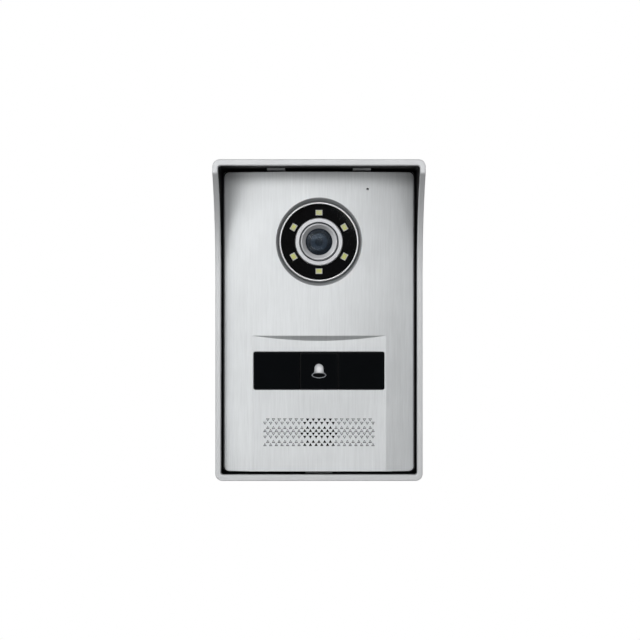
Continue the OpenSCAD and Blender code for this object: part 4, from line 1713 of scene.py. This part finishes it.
@dataclass
class LightRing:
    """White light LEDs round the camera, each a ceramic cup with a drop of phosphor."""

    workshop: Workshop
    count: int = 6
    circle: float = 0.0151
    length: float = 0.0035
    width: float = 0.0028
    corner: float = 0.00012
    cup: Place = (0.0028, 0.0022, 0.0003)
    dome: float = 0.00018

    def placed(self, outline: list[Point], turn: int) -> list[Point]:
        """Moves an outline to one LED of the ring and turns it with the ring.

        Args:
            outline: the outline, drawn about the LED's middle.
            turn: number of the LED.

        Returns:
            The moved points.
        """
        angle = math.radians(360 * turn / self.count)
        cx, cz = centre_of("lens_shroud")
        points = []
        for x, z in outline:
            out = z + self.circle
            across = cx + x * math.cos(angle) - out * math.sin(angle)
            up = cz + x * math.sin(angle) + out * math.cos(angle)
            points.append((across, up))
        return points

    def build(self) -> None:
        """Makes the cups and the phosphor drops."""
        back, front = back_of("led_packages"), front_of("led_packages")
        floor = back_of("led_phosphors")
        body = round_box(self.length, self.width, self.corner, steps=3)
        cup = round_box(*self.cup, steps=4)
        cups, drops = Draft(), Draft()
        for turn in range(self.count):
            sides = [(body(0), back), (body(0), front - 0.00008), (body(-0.00008), front)]
            rings = [cups.ring(self.placed(points, turn), depth) for points, depth in sides]
            cups.stack(rings)
            cups.face(rings[0])
            inner = [(cup(0), front), (cup(-0.0001), floor)]
            hollow = [cups.ring(self.placed(points, turn), depth) for points, depth in inner]
            cups.band(*hollow)
            cups.face(hollow[1])
            self.rim(cups, rings[-1], hollow[0])
            layers = [(cup(-0.0001), floor), (cup(-0.0001), floor + 0.00003)]
            layers += [
                (cup(-0.0001 - 0.0002 * i), floor + self.dome * math.sin(math.radians(18 * i)))
                for i in (1, 2, 3)
            ]
            layers.append((cup(-0.00095), floor + self.dome))
            drop = [drops.ring(self.placed(points, turn), depth) for points, depth in layers]
            drops.stack(drop)
            drops.face(drop[0])
            drops.face(drop[-1])
        self.workshop.settle(cups.piece("led_cups"), Body.STATION, "led_packages")
        self.workshop.settle(drops.piece("led_phosphor_drops"), Body.STATION, "led_phosphors")

    @staticmethod
    def rim(draft: Draft, outer: list[int], inner: list[int]) -> None:
        """Fills the flat rim between the cup's outside, of fewer points, and its hollow.

        Args:
            draft: mesh of the cups.
            outer: numbers of the outside's points.
            inner: numbers of the hollow's points.
        """
        share = len(inner) / len(outer)
        count = len(outer)
        for i in range(count):
            j = (i + 1) % count
            a = round(i * share) % len(inner)
            b = round((i + 1) * share) % len(inner)
            walk = [a]
            while walk[-1] != b:
                walk.append((walk[-1] + 1) % len(inner))
            draft.face((outer[i], outer[j], *[inner[k] for k in reversed(walk)]))


@dataclass
class ButtonStrip:
    """Gloss black strip: a window at each side of the call button, with a bell sign let into the button."""

    workshop: Workshop
    window: Place = (0.0236, 0.0193, 0.00085)
    window_edge: float = 0.00035
    cap: Place = (0.0195, 0.0192, 0.0008)
    cap_edge: float = 0.00045
    flange: float = 0.0012
    flange_depth: float = 0.0251
    stem: Place = (0.005, 0.005, 0.001)
    dome: float = 0.0023
    dome_z: float = 0.00125
    flare: tuple[Point, ...] = (
        (0.00236, 0.0004),
        (0.0025, -0.0006),
        (0.00268, -0.00092),
        (0.00297, -0.00131),
    )
    mouth: Place = (0.00375, 0.0016, -0.00225)
    mouth_wall: float = 0.00043

    def __post_init__(self) -> None:
        """Reads where the strip's middle is."""
        self.middle = (0.0, centre_of("left_window")[1])

    def bell(self) -> tuple[list[Point], list[Point]]:
        """Draws the bell sign.

        Returns:
            The outer loop and the loop of the open mouth.
        """
        across, up, low = self.mouth
        lift = self.middle[1]
        start = math.degrees(math.acos(self.flare[-1][0] / across))
        outer = arc((0.0, self.dome_z), self.dome, 0, 180, 36)
        outer += [(-x, z) for x, z in self.flare[:-1]]
        angles = [math.radians(180 - start + (180 + 2 * start) * i / 40) for i in range(41)]
        outer += [(across * math.cos(a), low + up * math.sin(a)) for a in angles]
        outer += [(x, z) for x, z in reversed(self.flare[:-1])]
        inner = [
            ((across - self.mouth_wall) * math.cos(a), low + (up - self.mouth_wall) * math.sin(a))
            for a in (math.radians(7.5 * i) for i in range(48))
        ]
        return [(x, z + lift) for x, z in outer], [(x, z + lift) for x, z in inner]

    def build_windows(self) -> None:
        """Makes the two windows."""
        for side, node in ((Side.LEFT, "left_window"), (Side.RIGHT, "right_window")):
            width, height, corner = self.window
            outline = round_box(width, height, corner, centre_of(node))
            name = f"strip_window_{side.name.lower()}"
            piece = slab(name, outline, back_of(node), front_of(node), self.window_edge)
            self.workshop.settle(piece, Body.STATION, node)

    def build_button(self) -> None:
        """Makes the button's cap, with its flange and stem, and the bell sign in it."""
        front, back = front_of("call_button"), back_of("call_button")
        floor = back_of("bell_light_guide")
        width, height, corner = self.cap
        cap = round_box(width, height, corner, self.middle, 0.004)
        flange = round_box(width, height + 2 * self.flange, corner, self.middle, 0.004)
        outer, inner = self.bell()
        border = edge_rings(cap, lambda x, z: front, self.cap_edge)
        border += [(cap(0), self.flange_depth), (flange(0), self.flange_depth), (flange(0), 0.0242)]
        width, height, corner = self.stem
        pocket = [Opening([(outer, front), (outer, floor)], True)]
        plate = Plate(border, lambda x, z: front, 0.0242, pocket)
        button = plate.build("call_button_cap")
        stem = slab("call_button_stem", round_box(width, height, corner, self.middle), back, 0.0242, 0.0001)
        self.workshop.settle(button, Body.CALL_BUTTON, "call_button")
        self.workshop.settle(stem, Body.CALL_BUTTON, "call_button")
        sign = Plate(
            [(outer, front), (outer, floor)],
            lambda x, z: front,
            floor,
            [Opening([(inner, front), (inner, floor)])],
        )
        self.workshop.settle(sign.build("bell_sign"), Body.CALL_BUTTON, "bell_light_guide")

    def build(self) -> None:
        """Makes the strip and dresses what works the button."""
        self.build_windows()
        self.build_button()
        for node in ("switch_plunger", "button_springs", "tact_switch", "keypad_board", "keypad_leds"):
            self.workshop.dress(node)


@dataclass
class StationBody:
    """Black plastic body of the station, with its seals, screws and cable grommet."""

    workshop: Workshop

    def build(self) -> None:
        """Dresses the frame, the case and what closes them."""
        self.workshop.dress("front_frame")
        self.workshop.dress("rear_case")
        for node in ("case_seal", "case_screws", "small_screws", "cable_grommet"):
            self.workshop.dress(node)


@dataclass
class Sound:
    """Loudspeaker behind the grille and the microphone in its boot."""

    workshop: Workshop

    def build(self) -> None:
        """Dresses the loudspeaker's parts and the microphone."""
        speaker = ("speaker_frame", "speaker_magnet", "speaker_cone")
        front = ("speaker_gasket", "speaker_mesh", "speaker_leads")
        for node in (*speaker, *front, "microphone", "mic_boot"):
            self.workshop.dress(node)


@dataclass
class Electronics:
    """Main board with its parts, and the tamper switch with its plunger."""

    workshop: Workshop

    def build(self) -> None:
        """Dresses the boards, their parts and the tamper switch."""
        for node in ("main_board", "board_chips", "capacitors", "door_relay"):
            self.workshop.dress(node)
        for node in ("terminal_block", "terminal_screws"):
            self.workshop.dress(node)
        for node in ("board_screws", "tamper_switch", "tamper_plunger", "tamper_spring"):
            self.workshop.dress(node)


@dataclass
class Softbox:
    """Studio light: a soft rectangle aimed at the station."""

    name: str
    place: Place
    size: Point
    power: float
    colour: Colour = (1.0, 1.0, 1.0)
    roll: float = 0.0

    def build(self, target: Place) -> None:
        """Makes the light and aims it at the target.

        Args:
            target: point it is aimed at.
        """
        data = bpy.data.lights.new(self.name, "AREA")
        data.shape = "RECTANGLE"
        data.size, data.size_y = self.size
        data.energy = self.power
        data.color = self.colour
        lamp = bpy.data.objects.new(self.name, data)
        lamp.location = self.place
        aim = (Vector(target) - Vector(self.place)).to_track_quat("-Z", "Y")
        lamp.rotation_mode = "QUATERNION"
        lamp.rotation_quaternion = aim @ Quaternion((0.0, 0.0, 1.0), math.radians(self.roll))
        lamp.visible_camera = False
        bpy.context.scene.collection.objects.link(lamp)


@dataclass
class Studio:
    """Pale backdrop, soft lights and the camera."""

    floor_z: float = -0.45
    front_y: float = -2.6
    wall_y: float = 1.6
    bend: float = 0.6
    half_width: float = 3.0
    wall_top: float = 2.4
    paper_glow: float = 0.04
    target: Place = (0.0, -0.02, 0.0)
    lights: tuple[Softbox, ...] = (
        Softbox("key_left", (-0.85, -1.05, 0.10), (1.0, 1.6), 4.2),
        Softbox("fill_right", (1.05, -0.85, 0.1), (0.7, 1.6), 0.4),
        Softbox("top", (0.0, -1.0, 0.95), (1.6, 0.8), 2.8),
        Softbox("front_top", (-0.28, -1.3, 0.42), (1.1, 0.3), 4.6),
        Softbox("front_right", (0.373, -1.25, 0.29), (0.8, 0.9), 1.6, roll=34.0),
        Softbox("front_low", (-0.2, -1.3, -0.46), (1.1, 0.3), 4.2),
        Softbox("back_left", (-1.0, 0.9, 0.5), (0.8, 0.8), 6.0),
        Softbox("back_right", (1.0, 0.9, 0.3), (0.8, 0.8), 5.0),
    )

    def backdrop(self) -> None:
        """Makes the floor that sweeps up into a wall behind the station."""
        profile = [(self.front_y, self.floor_z), (self.wall_y - self.bend, self.floor_z)]
        centre = (self.wall_y - self.bend, self.floor_z + self.bend)
        profile += arc(centre, self.bend, -90, 0, 16)[1:]
        profile.append((self.wall_y, self.wall_top))
        points = [(x, y, z) for y, z in profile for x in (-self.half_width, self.half_width)]
        faces = [(2 * i, 2 * i + 1, 2 * i + 3, 2 * i + 2) for i in range(len(profile) - 1)]
        mesh = bpy.data.meshes.new("backdrop")
        mesh.from_pydata(points, [], faces)
        mesh.shade_smooth()
        sheet = bpy.data.objects.new("backdrop", mesh)
        bpy.context.scene.collection.objects.link(sheet)
        graph = Graph("backdrop_paper")
        fleck = graph.tint(graph.noise(3.0, 2.0), (0.14, 0.14, 0.14), (0.15, 0.15, 0.15))
        paper = graph.add("BsdfDiffuse", Color=fleck)
        seen = graph.add("Emission", Color=(1.0, 1.0, 1.0), Strength=1.0)
        felt = graph.add("Emission", Color=(1.0, 1.0, 1.0), Strength=self.paper_glow)
        both = graph.add("AddShader")
        graph.feed(both.inputs[0], paper.outputs[0])
        graph.feed(both.inputs[1], felt.outputs[0])
        mix = graph.add("MixShader", Fac=graph.add("LightPath").outputs["Is Camera Ray"])
        graph.feed(mix.inputs[1], both.outputs[0])
        graph.feed(mix.inputs[2], seen.outputs[0])
        mesh.materials.append(graph.finish(mix.outputs[0]))

    def sky(self) -> None:
        """Makes the surroundings: white to the camera, dim to everything that reflects them."""
        world = bpy.data.worlds.new("studio")
        world.use_nodes = True
        tree = world.node_tree
        tree.nodes.clear()
        output = tree.nodes.new("ShaderNodeOutputWorld")
        seen = tree.nodes.new("ShaderNodeBackground")
        seen.inputs["Color"].default_value = (1.0, 1.0, 1.0, 1.0)
        seen.inputs["Strength"].default_value = 1.0
        felt = tree.nodes.new("ShaderNodeBackground")
        felt.inputs["Color"].default_value = (0.96, 0.98, 1.0, 1.0)
        felt.inputs["Strength"].default_value = 0.11
        ray = tree.nodes.new("ShaderNodeLightPath")
        mix = tree.nodes.new("ShaderNodeMixShader")
        tree.links.new(ray.outputs["Is Camera Ray"], mix.inputs[0])
        tree.links.new(felt.outputs[0], mix.inputs[1])
        tree.links.new(seen.outputs[0], mix.inputs[2])
        tree.links.new(mix.outputs[0], output.inputs["Surface"])
        bpy.context.scene.world = world

    def camera(self) -> None:
        """Makes the camera, level and square to the panel."""
        data = bpy.data.cameras.new("camera")
        data.lens = 82.1
        data.sensor_width = 36.0
        data.shift_x = 0.0016
        data.shift_y = -0.0539
        data.clip_start = 0.01
        data.clip_end = 20.0
        eye = bpy.data.objects.new("camera", data)
        eye.location = (0.0, -0.78, 0.0187)
        eye.rotation_euler = (math.radians(90), 0.0, 0.0)
        bpy.context.scene.collection.objects.link(eye)
        bpy.context.scene.camera = eye

    def build(self) -> None:
        """Makes the camera, the backdrop, the surroundings and the lights."""
        self.camera()
        self.backdrop()
        self.sky()
        for light in self.lights:
            light.build(self.target)
        bpy.context.scene.view_settings.view_transform = "Standard"


def main() -> None:
    """Builds the studio and each sub-assembly in order."""
    logging.basicConfig(level=logging.INFO, format="%(name)s: %(message)s")
    workshop = Workshop(frame["record"])
    parts = (
        Studio(),
        RainHood(workshop),
        WallFixing(workshop),
        StationBody(workshop),
        FrontPanel(workshop),
        CameraEye(workshop),
        LightRing(workshop),
        ButtonStrip(workshop),
        Sound(workshop),
        Electronics(workshop),
    )
    for part in parts:
        part.build()
        LOG.info("%s is done", type(part).__name__)


if __name__ == "__main__":
    main()
